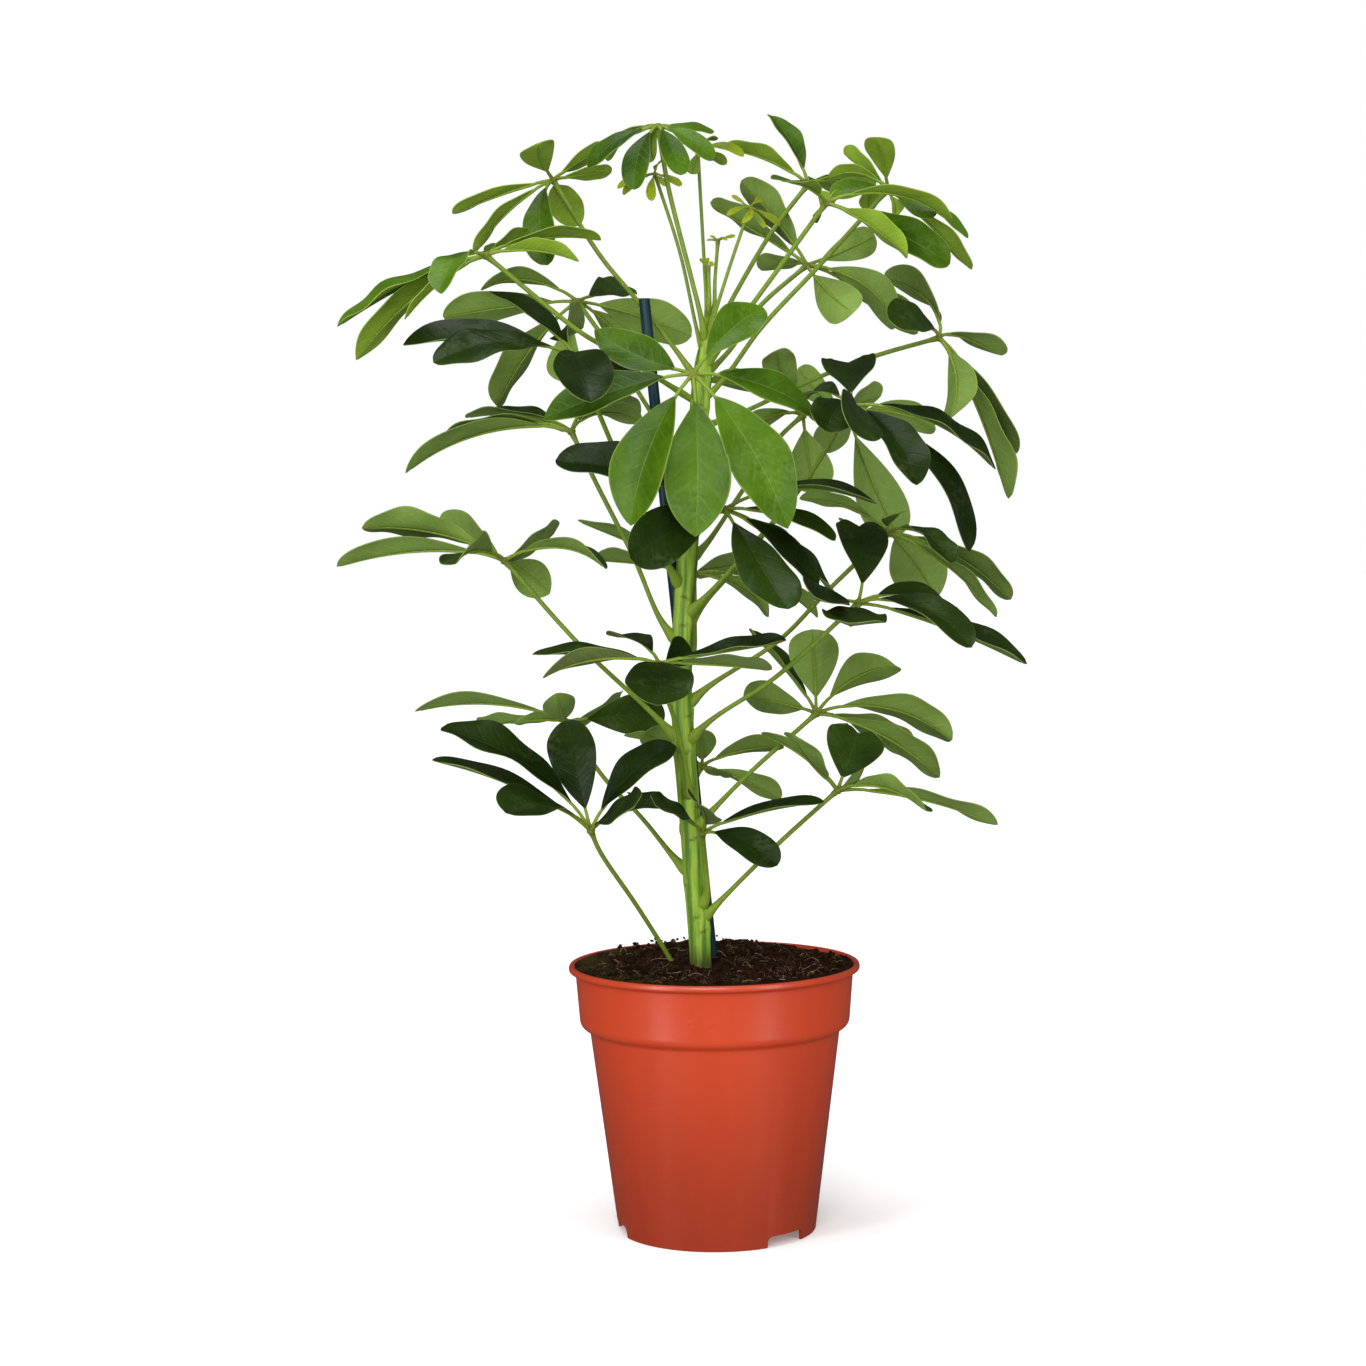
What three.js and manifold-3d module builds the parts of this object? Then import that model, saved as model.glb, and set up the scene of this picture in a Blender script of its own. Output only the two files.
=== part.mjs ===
// A potted umbrella plant: a staked green stem with some thirty compound leaves in a nursery pot.
// Millimetres, +Z up, the viewer on -Y. The origin is on the pot's axis at the floor.
import * as THREE from "three";
import { mergeVertices } from "three/addons/utils/BufferGeometryUtils.js";
import Module from "manifold-3d";

const wasm = await Module();
wasm.setup();

// ---------------------------------------------------------------- sight coordinates
// A point of the plant is written [across, up, near]: millimetres right and up in the
// plane of the pot's axis, then millimetres towards the viewer along the line of sight.
const EYE = new THREE.Vector3(0, -1500, 397);

function sight([across, up, near]) {
  const inPlane = new THREE.Vector3(across, 0, up);
  return inPlane.lerp(EYE, near / -EYE.y);
}

// ---------------------------------------------------------------- sizes
const CLEAR = 0.3;
const POT_HEIGHT = 156;
const LIP_RADIUS = 85;
const SOIL_LEVEL = 151.5;
const STAKE_RADIUS = 3.25;
const STAKE_FOOT = 45;
const BROAD_FROM = 13;
const FOLDED_FROM = 18;
const YOUNG_REACH = 35;
const FOLD = 0.16;
const PLAIN_SHAPE = 0.36;

// ---------------------------------------------------------------- solids
function solid(geometry) {
  const bare = geometry.index ? geometry.toNonIndexed() : geometry.clone();
  bare.deleteAttribute("normal");
  bare.deleteAttribute("uv");
  const merged = mergeVertices(bare, 1e-4);
  return new wasm.Manifold(new wasm.Mesh({
    numProp: 3,
    vertProperties: merged.attributes.position.array,
    triVerts: new Uint32Array(merged.index.array),
  }));
}

function geometryOf(manifold) {
  const mesh = manifold.getMesh();
  const geometry = new THREE.BufferGeometry();
  const positions = new Float32Array(mesh.numVert * 3);
  for (let i = 0; i < mesh.numVert; i += 1) {
    for (let k = 0; k < 3; k += 1) {
      positions[3 * i + k] = mesh.vertProperties[i * mesh.numProp + k];
    }
  }
  geometry.setAttribute("position", new THREE.BufferAttribute(positions, 3));
  geometry.setIndex(new THREE.BufferAttribute(new Uint32Array(mesh.triVerts), 1));
  geometry.computeVertexNormals();
  return geometry;
}

function joined(parts) {
  return parts.reduce((sum, part) => sum.add(part));
}

function lathe(profile, sides) {
  const points = profile.map(([r, z]) => new THREE.Vector2(r, z));
  points.push(points[0].clone());
  const turned = new THREE.LatheGeometry(points, sides);
  turned.rotateX(Math.PI / 2);
  return turned;
}

// A round rod along a curve: a straight cylinder whose rings are carried onto the curve.
// extra swells it on all sides, to cut a clear hole for the plain rod.
function rod(curve, radiusAt, sides, rings, extra = 0) {
  const geometry = new THREE.CylinderGeometry(1, 1, 1, sides, rings);
  const position = geometry.attributes.position;
  const lead = new THREE.Vector3(0.31, -0.9, 0.3).normalize();
  const point = new THREE.Vector3();
  for (let i = 0; i < position.count; i += 1) {
    point.fromBufferAttribute(position, i);
    const t = Math.min(1, Math.max(0, point.y + 0.5));
    const along = curve.getTangentAt(t);
    const side = new THREE.Vector3().crossVectors(lead, along).normalize();
    const front = new THREE.Vector3().crossVectors(side, along).normalize();
    const radius = radiusAt(t) + extra;
    const spot = curve.getPointAt(t).addScaledVector(along, Math.sign(point.y) * extra);
    spot.addScaledVector(side, point.x * radius);
    spot.addScaledVector(front, point.z * radius);
    position.setXYZ(i, spot.x, spot.y, spot.z);
  }
  return geometry;
}

// ---------------------------------------------------------------- stem and stake
const STEM_LINE = [
  [-8, 105, 0], [-8, 158, 0], [-11, 205, 0], [-14, 252, 0], [-17.3, 306, 0], [-16.2, 350, 0],
  [-13.2, 388, 0], [-8.6, 440, 0], [-3.7, 490, 0], [-0.2, 525, 0], [0.6, 533, 0],
];
const stemCurve = new THREE.CatmullRomCurve3(STEM_LINE.map(sight));
const STEM_RINGS = 16;

function stemRadius(t) {
  const body = 6.4 - 1.1 * Math.max(0, t - 0.55) / 0.45;
  const tip = THREE.MathUtils.smoothstep(1 - t, 0, 0.09);
  return 1.6 + (body - 1.6) * tip;
}

const STAKE_TOP = sight([-36, 542, -12]);
const STAKE_LOW = sight([-2.6, 175, -12]);
const stakeReach = STAKE_LOW.clone().sub(STAKE_TOP);
const stakeEnd = STAKE_TOP.clone().addScaledVector(
  stakeReach,
  (STAKE_TOP.z - STAKE_FOOT) / (STAKE_TOP.z - STAKE_LOW.z),
);
const stakeCurve = new THREE.LineCurve3(STAKE_TOP, stakeEnd);

const stem = solid(rod(stemCurve, stemRadius, 10, STEM_RINGS));
const stemRoom = solid(rod(stemCurve, stemRadius, 10, STEM_RINGS, CLEAR));
const stake = solid(rod(stakeCurve, () => STAKE_RADIUS, 12, 1));
const stakeRoom = solid(rod(stakeCurve, () => STAKE_RADIUS, 12, 1, CLEAR));

// ---------------------------------------------------------------- leaves
// A leaf: its petiole from the stem's middle to the hub, how long its leaflets are, and the
// leaflets as [across, up, seen, lean, bow, sway]. |seen| is the width as it looks from the front,
// negative where the pale underside shows. lean is the share of the leaflet's length that
// points at the viewer (+) or away (-); bow is how far the midrib arches, over its length,
// and sway how far it curves sideways within the blade.
const LEAVES = {
  leaf_crown_left: {
    petiole: [[-6.5, 496, 0], [-20, 515, -14], [-40, 541, -26], [-61, 567, -32], [-87.5, 610.5, -38]],
    reach: 62,
    leaflets: [
      [-96.5, 631.5, -21.4, 0.85, 0.06, 0.03], [-146, 592.5, -6.3, 0.3, 0.06, 0.03],
      [-134, 569, -6.5, 0.2, 0.11, 0.02], [-91.5, 562, 17.7, 0.8, 0.22, -0.01],
      [-73, 584.5, -20.1, -0.85, 0.12, -0.02], [-54, 614.5, -8.3, -0.5, 0.05, 0],
      [-59, 628, -9.4, -0.6, 0.05, 0],
    ],
  },
  leaf_high_left: {
    petiole: [[-9.5, 484, 0], [-25, 494, 14], [-55, 512.4, 36], [-74, 524, 50], [-127, 568, 58]],
    reach: 92,
    leaflets: [
      [-213.5, 528.5, 4.9, 0.1, 0.08, -0.02], [-203, 509, -13.7, 0.2, 0.1, -0.01],
      [-174.5, 532, -4, 0.3, 0.1, 0], [-153, 546.5, 9.3, 0.6, 0.17, 0.02],
      [-60.5, 576, -4.5, -0.5, 0.11, -0.02], [-73.5, 564, -7.9, 0.1, 0.13, 0],
      [-102.5, 579.5, -3.8, -0.7, 0.06, -0.08], [-124.5, 574.5, 5.4, -0.2, 0.02, 0.05],
    ],
  },
  leaf_back_left: {
    petiole: [[-8.2, 450, 0], [-20, 460, -14], [-31, 474, -24], [-55, 513, -40], [-74.5, 541, -50]],
    reach: 88,
    leaflets: [
      [-129.5, 549.5, -11, 0.4, 0.2, 0.02], [-152.5, 533.5, -19.2, 0.1, 0.07, 0.03],
      [-122.5, 482, -16.8, 0.2, 0.1, 0], [-81.5, 495, -20.8, 0.4, 0.2, -0.04],
      [-45, 549, 15.8, -0.7, 0.05, 0.01], [-9, 520, -24.3, -0.3, 0.1, 0.01],
      [-33, 502, -20, -0.5, 0.1, 0],
    ],
  },
  leaf_front_left: {
    petiole: [[-15.5, 373, 0], [-31, 401, 18], [-62, 474, 44], [-76, 509, 54]],
    reach: 100,
    leaflets: [
      [-175.5, 517.5, 12.7, -0.2, 0.11, -0.02], [-158.5, 507, 15.4, 0.6, 0.14, 0.02],
      [-123, 547, 10.8, -0.5, 0.06, 0.03], [-67.5, 483, 30.5, 0.85, 0.14, 0.02],
      [-37.5, 501, 7.3, 0.1, 0.04, 0.04], [-71.5, 526, 7.1, -0.7, 0.17, 0.05],
    ],
  },
  leaf_mid_left: {
    petiole: [[-16.5, 340, 0], [-29, 357, 3], [-43.5, 392, 2], [-66, 438, -6], [-79, 466, -12]],
    reach: 100,
    leaflets: [
      [-175.5, 443.5, -6.9, 0.4, 0.16, 0.05], [-140, 475, 3.9, -0.5, 0.1, 0.06],
      [-157, 458.5, -4.1, -0.2, 0.15, 0.02], [-38.5, 472, -4.4, -0.5, 0.18, -0.05],
      [-42, 470, -6, -0.8, 0.2, 0], [-104, 471.5, -8, -0.9, 0.02, -0.05],
    ],
  },
  leaf_low_left: {
    petiole: [[-17, 284, 0], [-34, 302, 5], [-75, 341.5, 10], [-119, 392, 8]],
    reach: 96,
    leaflets: [
      [-201.5, 412, -15.4, 0.1, 0.12, 0], [-216.5, 390, -8.1, 0.1, 0.1, -0.02],
      [-147.5, 390.5, -12.1, 0.8, 0.13, 0], [-156, 416.5, -13.5, -0.6, 0.07, 0.06],
      [-89, 409.5, -10.2, -0.9, 0.02, -0.06], [-93, 372.5, -21.9, -0.35, 0.14, 0.03],
      [-60, 386.5, -4.8, 0.4, 0.19, -0.02],
    ],
  },
  leaf_top: {
    petiole: [
      [-1.6, 514, 0], [-2.6, 527, 6], [-9, 555, 6], [-16, 583, 5], [-21.5, 607, 5],
      [-27, 640.5, 4],
    ],
    reach: 50,
    leaflets: [
      [-67.5, 618, 8.9, 0.3, 0.12, 0], [-56, 621, -5.3, -0.6, 0.19, -0.01],
      [-41, 604.5, 14.2, 0.75, 0.16, 0.02], [-14, 612.5, 13.7, 0.75, 0.15, 0.04],
      [4.5, 620.5, 9.9, 0.5, 0.12, 0], [5.5, 637, 4.7, -0.2, 0.07, 0.02],
      [-16, 641, 2, -0.8, -0.01, -0.03], [-29.5, 621, -7.2, -0.8, 0.1, -0.01],
    ],
  },
  leaf_young_left: {
    petiole: [[-2, 507, 0], [-6.5, 527, -6], [-15, 568, -8], [-29, 613.5, -10]],
    reach: 25,
    shape: 0.3,
    leaflets: [
      [-31, 598, 5.7, 0.5, 0.11, 0.03], [-13.5, 606.5, 3.9, 0.2, 0.1, 0],
      [-21.5, 606.5, 3.8, 0.3, 0.04, 0.02], [-26, 619.5, 1.9, -0.7, 0.09, 0.04],
      [-50.5, 605.5, 3.7, 0.1, 0.11, 0], [-47.5, 602, 4.9, -0.5, 0.16, 0],
    ],
  },
  leaf_young_centre: {
    petiole: [[-0.2, 524, 0], [0, 536, -5], [-1, 560, -9], [-4, 627.5, -14]],
    reach: 30,
    leaflets: [
      [-7.5, 613, -7.7, 0.3, 0.09, -0.01], [12.5, 618.5, -5.8, -0.3, 0.07, 0.01],
      [22.5, 623, 4.9, 0.1, 0.15, -0.01], [6, 632, 1.8, -0.8, 0.12, -0.06],
      [-14, 630, 3, -0.7, 0.1, 0],
    ],
  },
  leaf_young_right: {
    petiole: [[-0.5, 518, 0], [5, 534, 8], [14, 561, 12], [25.5, 593.5, 14]],
    reach: 21,
    shape: 0.2,
    leaflets: [
      [15.5, 600.5, 2.4, -0.5, 0.07, -0.04], [32.5, 598, 3.6, -0.6, 0.11, -0.06],
      [12, 589, 3, 0.5, 0.13, 0.03], [21, 584.5, 3.9, 0.8, 0.14, -0.1],
      [34, 581.5, 2.7, 0.5, 0.08, 0.01], [43, 583.5, 3.5, 0.1, 0.11, 0],
    ],
  },
  leaf_bud_right: {
    petiole: [[0, 527, 0], [4, 535, -1], [5, 552, -3], [7, 575, -3]],
    reach: 11,
    shape: 0.2,
    leaflets: [
      [0.5, 575, 1, 0.2, 0.1, 0], [2.5, 577.5, 1, -0.4, 0.1, 0],
      [17, 577.5, 2.1, 0.1, -0.06, -0.03], [12.5, 575, 1.3, 0.6, 0.2, -0.05],
    ],
  },
  leaf_bud_centre: {
    petiole: [[0.4, 529, 0], [1.5, 541, 5], [1.2, 559.5, 6]],
    reach: 6.5,
    shape: 0.3,
    leaflets: [
      [-3.5, 564.5, 1.7, 0.2, 0.07, -0.03], [4, 562.5, 3.3, 0.2, 0.11, 0.03],
      [1, 565, 2.6, -0.5, 0.06, -0.07],
    ],
  },
  leaf_crown_back: {
    petiole: [[-1.3, 511, 0], [8, 529, -12], [38.5, 580, -30], [59, 606, -40]],
    reach: 64,
    leaflets: [
      [38.5, 645.5, 11.5, -0.7, 0.08, 0], [9, 627.5, -8.1, 0.3, 0.11, -0.01],
      [76, 601, -8, -0.95, 0.1, 0], [97, 604, -6, -0.7, 0.1, 0],
      [62, 588.5, -8.5, 0.6, 0.18, 0.05],
    ],
  },
  leaf_crown_right: {
    petiole: [[-2.6, 500, 0], [12, 519, 12], [40, 556, 26], [69.5, 595.5, 38]],
    reach: 80,
    leaflets: [
      [43, 609, -6.9, 0.8, 0.07, -0.01], [142, 583.5, -4.1, -0.1, 0.17, 0.02],
      [116, 565, -12.1, 0.5, 0.09, -0.01], [140.5, 560, 18.8, -0.4, 0.07, 0.01],
      [76.5, 601, -5.5, -0.25, 0.04, -0.07],
    ],
  },
  leaf_crown_far_right: {
    petiole: [[-4.5, 481, 0], [10.5, 496.5, 4], [31, 524, 2], [64.5, 559, -4], [105, 602.5, -8]],
    reach: 58,
    leaflets: [
      [98, 632.5, -16.2, 0.8, 0.03, -0.02], [80, 624, -7, -0.8, 0.05, 0.01],
      [71.5, 600.5, 10.6, 0.3, 0.11, 0.01], [70.5, 609.5, -6.8, -0.3, 0.19, -0.06],
      [94.5, 590.5, -8.1, -0.6, 0.15, -0.08], [108.5, 584.5, -8, 0.5, 0.1, 0],
      [151, 574.5, 5.2, 0.1, 0.1, 0], [153, 556.5, -7.6, 0.1, 0.06, 0],
      [130.5, 586, 11.7, 0.7, 0.09, 0.01],
    ],
  },
  leaf_right_back: {
    petiole: [[-2.6, 496, 0], [14, 513, -14], [30, 536, -24], [58, 560, -36]],
    reach: 78,
    leaflets: [
      [21, 609, -17.5, -0.2, 0.06, -0.01], [3, 596.5, -10.7, -0.3, 0.03, -0.01],
      [32, 557.5, -8.8, -0.7, 0.08, 0.02], [97.5, 576, -17.8, 0.3, 0.19, -0.01],
      [121.5, 520, -16, -0.5, 0.1, 0], [109, 525, -20.5, 0.45, 0.15, 0.09],
      [84.5, 532.5, -24.4, 0.75, 0.02, -0.03],
    ],
  },
  leaf_far_right: {
    petiole: [[-6, 467, 0], [20, 476, -16], [60, 494, -30], [95.5, 507, -32], [134, 517.5, -28]],
    reach: 98,
    leaflets: [
      [105, 528.5, 14, 0.6, 0.1, 0.03], [102.5, 552.5, -8.9, -0.6, 0.18, 0.02],
      [170, 507, -6.7, -0.6, 0.11, -0.08], [140.5, 471.5, -20.2, 0.6, 0.1, 0.06],
      [173.5, 424.5, -10, 0.2, 0.07, -0.01], [177.5, 450, -5.4, -0.3, 0.07, -0.02],
    ],
  },
  leaf_dark_right: {
    petiole: [[-15.6, 357, 0], [-2, 370, 10], [15, 388, 18], [57, 437, 34], [82.5, 479, 42]],
    reach: 94,
    leaflets: [
      [80.5, 505.5, 31.4, -0.75, 0.06, 0.02], [55.5, 481.5, 8.2, -0.5, 0.19, 0.01],
      [68, 464.5, 23, 0.7, 0.1, 0.04], [83.5, 464.5, 19.4, 0.95, 0.08, 0.01],
      [166, 441.5, 7.6, -0.1, 0.15, 0], [120.5, 433, 18.2, 0.6, 0.14, -0.03],
      [151, 394.5, 13.4, 0.2, 0.16, 0],
    ],
  },
  leaf_behind_right: {
    petiole: [[-13, 390, 0], [-2, 400, -12], [19, 430, -26], [41, 461, -40], [55, 474, -46]],
    reach: 70,
    leaflets: [
      [61, 429.5, -27.4, -0.1, 0.13, -0.01], [40.5, 511.5, -19.9, 0.7, 0.12, 0.05],
      [1, 494.5, -12, 0.5, 0.12, 0], [18, 457.5, -12.5, -0.4, 0.22, -0.04],
      [76, 473, -12, -0.4, 0.1, 0],
    ],
  },
  leaf_behind_far_right: {
    petiole: [[-16, 346, 0], [-3, 366, -14], [15, 386, -26], [57, 437, -62], [81, 475, -78]],
    reach: 84,
    leaflets: [
      [53, 501.5, -17.1, -0.2, 0.08, 0.07], [131.5, 465, -16.5, 0.3, 0.11, 0.06],
      [109, 403.5, -29.5, -0.2, 0.08, -0.02], [70, 452, -20, -0.8, 0.1, 0],
      [100, 484.5, -12.8, -0.8, 0.08, -0.05],
    ],
  },
  leaf_right_mid: {
    petiole: [[-16.9, 304, 0], [-2, 317, -2], [40, 344, -12], [68, 372, -18], [103.5, 405.5, -26]],
    reach: 86,
    leaflets: [
      [52.5, 426, -8, -0.2, 0.14, 0.01], [110.5, 416.5, 8.3, -0.4, 0.08, -0.04],
      [140, 387.5, 6.1, 0.6, 0.19, 0.02], [174.5, 366, -12.2, -0.2, 0.12, 0],
      [166, 356, -7, 0.3, 0.1, 0.01], [131, 367, -34.9, -0.75, 0.11, 0.04],
    ],
  },
  leaf_front_dark: {
    petiole: [[-11.5, 407, 0], [-6, 411, 20], [0, 416, 38], [9, 420, 60]],
    reach: 100,
    leaflets: [
      [45.5, 362, 25.7, 0.8, 0.07, 0.04], [63, 375, 12.5, -0.1, 0.11, 0.01],
      [73.5, 367.5, 7.4, -0.65, 0.09, -0.03], [73, 401.5, 7.3, 0.2, 0.11, 0],
      [97, 422.5, 5, -0.2, 0.15, 0.01], [-88.5, 449.5, 20.1, 0.1, 0.11, -0.01],
      [-46, 392.5, 30.6, 0.75, 0.08, 0.04],
    ],
  },
  leaf_right_low_dark: {
    petiole: [[-16.3, 283, 0], [0, 298, 10], [37, 322, 24], [86, 365, 42]],
    reach: 102,
    leaflets: [
      [85, 413.5, 30.5, -0.8, 0.05, 0.04], [60.5, 369, 11.9, 0.75, 0, 0.04],
      [80, 353.5, 18.8, 0.95, -0.01, -0.02], [183.5, 328.5, 8, 0.1, 0.06, -0.01],
      [151.5, 338.5, 13.4, 0.5, 0.17, -0.03], [140.5, 361.5, 9.9, -0.5, 0.13, -0.01],
    ],
  },
  leaf_right_light: {
    petiole: [[-13, 232, 0], [-4, 241, 4], [20, 265, -4], [61, 301, -14]],
    reach: 84,
    leaflets: [
      [59, 350, -29.4, 0.2, 0.06, -0.01], [107, 328.5, -20.9, 0.7, 0.12, 0.04],
      [140, 285, -16.6, 0.1, 0.18, 0.02], [132.5, 263, -14.5, 0.1, 0.1, 0.03],
      [116.5, 275, -14.2, -0.6, 0.11, 0], [19, 312, -18.3, -0.6, 0.03, -0.02],
      [23, 350, 5.2, -0.5, 0.06, 0],
    ],
  },
  leaf_lowest_right: {
    petiole: [[-9.6, 178, 0], [2, 190, 4], [38, 225, 8], [73, 256, 10]],
    reach: 96,
    leaflets: [
      [29, 290, -2.1, -0.1, 0.1, 0], [50, 287.5, -8.4, 0.7, 0.01, 0.06],
      [86.5, 292.5, 34.7, -0.3, 0.08, 0], [166, 235, -6.7, 0.1, 0.08, -0.01],
      [125, 243.5, -8.3, 0.6, 0.13, 0.05], [84, 264.5, -6, -0.9, -0.01, 0.03],
    ],
  },
  leaf_lowest_left: {
    petiole: [[-19.2, 146, -16], [-27, 160.5, -14], [-45, 190, 4], [-66, 222, 28], [-71, 234, 36]],
    reach: 106,
    leaflets: [
      [-157.5, 295, 16.2, -0.1, 0.13, 0], [-163, 276.5, 6.3, 0.2, 0.08, 0],
      [-120.5, 245, 9.6, 0.8, 0.11, 0.09], [-84.5, 298.5, 27.6, -0.3, 0.12, -0.01],
      [-21.5, 283.5, 17.8, -0.2, 0.15, 0], [-45.5, 248, 8.4, 0.7, 0.04, -0.02],
      [-20.5, 247.5, 7, 0, 0.16, -0.02],
    ],
  },
  leaf_low_back_left: {
    petiole: [[-11.5, 206, 0], [-22, 217, -6], [-41, 241, -22], [-63, 265, -40], [-85, 298, -60]],
    reach: 90,
    leaflets: [
      [-172.5, 305, -4.9, 0.1, 0.11, 0], [-134.5, 296, -5.1, -0.7, 0.05, 0],
      [-114.5, 297.5, -6.7, 0.2, 0.05, -0.05], [-90, 314.5, -19.7, 0.55, -0.06, 0.01],
      [-52.5, 314, -8.3, -0.7, -0.06, -0.03], [-27, 301.5, 26.6, -0.5, 0.12, -0.02],
      [-81.5, 287.5, -16.7, -0.5, 0.1, 0.06],
    ],
  },
  leaf_centre: {
    petiole: [[-8.6, 437, 0], [-7.5, 450, 26], [-7, 476, 66], [-8.3, 498.5, 88]],
    reach: 102,
    leaflets: [
      [-65, 524.5, 20.7, -0.4, -0.03, -0.02], [33, 535.5, 22.5, -0.4, 0.12, -0.03],
      [-95, 473.5, 19.6, -0.1, 0.08, 0], [-45.5, 411.5, 28.9, 0.4, 0.08, 0.05],
      [-8, 404.5, 35.9, 0.3, 0.09, -0.02], [45.5, 408.5, 32.5, 0.2, 0.1, -0.03],
      [63, 473.5, 16.2, -0.3, 0.11, -0.02],
    ],
  },
  leaf_low_centre: {
    petiole: [[-14, 251, 0], [-14, 261, 12], [-20, 293, 26], [-26, 313, 42], [-30, 331, 54]],
    reach: 80,
    leaflets: [
      [-56, 347.5, 9.8, -0.7, 0.11, 0.02], [-103.5, 337.5, 6, -0.3, 0.06, 0.02],
      [-97.5, 324, -9.4, 0.5, 0.13, 0], [-31.5, 307, 37.2, 0.9, 0.12, -0.01],
      [44, 344, 6.4, 0.1, 0.03, 0], [-14, 344, 17.3, -0.45, -0.02, 0.08],
      [35.5, 327, -6, -0.3, 0.05, -0.02],
    ],
  },
  leaf_low_front: {
    petiole: [[-9.2, 186, 0], [-4, 196, 8], [-4.5, 214, 17], [-6, 232, 30]],
    reach: 74,
    leaflets: [
      [65, 249.5, 6, 0.1, 0.08, 0.01], [37.5, 212.5, 16.7, 0.7, 0.13, -0.02],
      [-10, 250.5, -13.8, 0.85, 0.08, -0.02], [-48, 256, 7, -0.6, 0.1, 0],
      [-33, 248.5, 5.2, 0.8, 0.05, 0.04],
    ],
  },
  leaf_low_back: {
    petiole: [[-12.8, 228, 0], [-17, 236, -11], [-15, 250, -30], [-6, 271, -54]],
    reach: 62,
    leaflets: [
      [42, 282, -10.3, 0.2, 0.1, 0.02], [40, 251.5, -11.7, -0.3, 0.06, 0.02],
      [9.5, 268, -3, 0.6, -0.06, -0.02], [-6.5, 292.5, -17.3, 0.6, 0, -0.02],
      [-40, 290, -15.8, 0.5, 0.11, -0.02], [-51, 289.5, -3, -0.1, 0.1, 0],
    ],
  },
  leaf_mid_back: {
    petiole: [[-16.8, 330, 0], [-10.5, 338, -11], [-9, 358, -32], [-9, 383, -52]],
    reach: 82,
    leaflets: [
      [-76, 415, -4.2, 0.2, 0.05, 0.02], [-64, 392, -5.8, -0.6, 0.04, -0.04],
      [21, 390, -12.3, -0.8, 0.08, -0.09], [62.5, 357, -8, 0.2, 0.16, 0],
      [34, 359, -11.5, 0.3, 0.18, -0.02],
    ],
  },
};

// Along a leaflet: share of the length, then half width as a share of the blade's half width.
const STALK_SHARE = 0.17;
const BROAD_OUTLINE = [[0.38, 0.66], [0.62, 1], [0.84, 0.8], [1, 0.14]];
const SLIM_OUTLINE = [[0.43, 0.8], [0.74, 0.96], [1, 0.14]];
const YOUNG_OUTLINE = [[0.6, 1], [1, 0.2]];
// Half width and thickness of a leaflet's stalk in the hub and where the blade begins.
const MATURE = { root: [0.6, 1], stalk: [0.95, 1.5], blade: 0.9, hub: 3.1, tip: 1.35, base: 3.2 };
const YOUNG = { root: [0.35, 0.7], stalk: [0.5, 0.9], blade: 0.8, hub: 1.9, tip: 1, base: 1.5 };
const ROOT_DEPTH = 0.8;

// Which way the blade's upper face looks: turned about the midrib until its width looks as
// wide as it does from the front, on the side that keeps the face nearest the leaf's own up.
function facing(along, middle, share, leafUp) {
  const view = EYE.clone().sub(middle).normalize();
  view.addScaledVector(along, -view.dot(along)).normalize();
  const across = new THREE.Vector3().crossVectors(along, view);
  const lift = Math.sqrt(Math.max(0, 1 - share * share));
  const turn = Math.sign(across.dot(leafUp)) || 1;
  return view.multiplyScalar(share).addScaledVector(across, turn * lift).normalize();
}

function leaflet(hub, row, reach, shape, leafUp, build) {
  const [across, up, seen, lean, bow, sway = 0] = row;
  const hubNear = -hub.y;
  const flat = sight([across, up, hubNear]);
  const shown = flat.distanceTo(hub);
  const depth = lean * Math.sqrt(Math.max(0, reach * reach - shown * shown));
  const tip = sight([across, up, hubNear + depth]);
  const length = tip.distanceTo(hub);
  const along = tip.clone().sub(hub).normalize();
  const middle = tip.clone().lerp(hub, 0.4);
  const width = Math.max(Math.abs(seen), shape * length);
  const normal = facing(along, middle, seen / width, leafUp);
  const side = new THREE.Vector3().crossVectors(along, normal).normalize();
  const lift = normal.clone().multiplyScalar(bow * length * 1.33);
  lift.addScaledVector(side, sway * length * 1.33);
  const midrib = new THREE.CubicBezierCurve3(
    hub,
    hub.clone().addScaledVector(along, length * 0.32).add(lift),
    hub.clone().addScaledVector(along, length * 0.74).add(lift),
    tip,
  );
  const broad = Math.abs(seen) > BROAD_FROM;
  const folded = Math.abs(seen) > FOLDED_FROM;
  const stations = [[ROOT_DEPTH / length, ...build.root], [STALK_SHARE, ...build.stalk]];
  const matureOutline = broad ? BROAD_OUTLINE : SLIM_OUTLINE;
  const outline = build === YOUNG ? YOUNG_OUTLINE : matureOutline;
  outline.forEach(([t, share]) => {
    stations.push([t, Math.max(0.6, share * width / 2), build.blade]);
  });
  const rows = stations.length - 1;
  const geometry = new THREE.BoxGeometry(2, 1, rows, folded ? 2 : 1, 1, rows);
  const position = geometry.attributes.position;
  for (let i = 0; i < position.count; i += 1) {
    const [t, half, thick] = stations[Math.round(position.getZ(i) + rows / 2)];
    const out = position.getX(i);
    const over = position.getY(i);
    const tangent = midrib.getTangent(t);
    const face = new THREE.Vector3().crossVectors(side, tangent).normalize();
    const fold = folded && t > STALK_SHARE ? FOLD * half : 0;
    const raise = over * thick + (Math.abs(out) - 0.5) * fold;
    const spot = midrib.getPoint(t);
    spot.addScaledVector(side, -out * half);
    spot.addScaledVector(face, raise);
    position.setXYZ(i, spot.x, spot.y, spot.z);
  }
  return solid(geometry);
}

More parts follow.
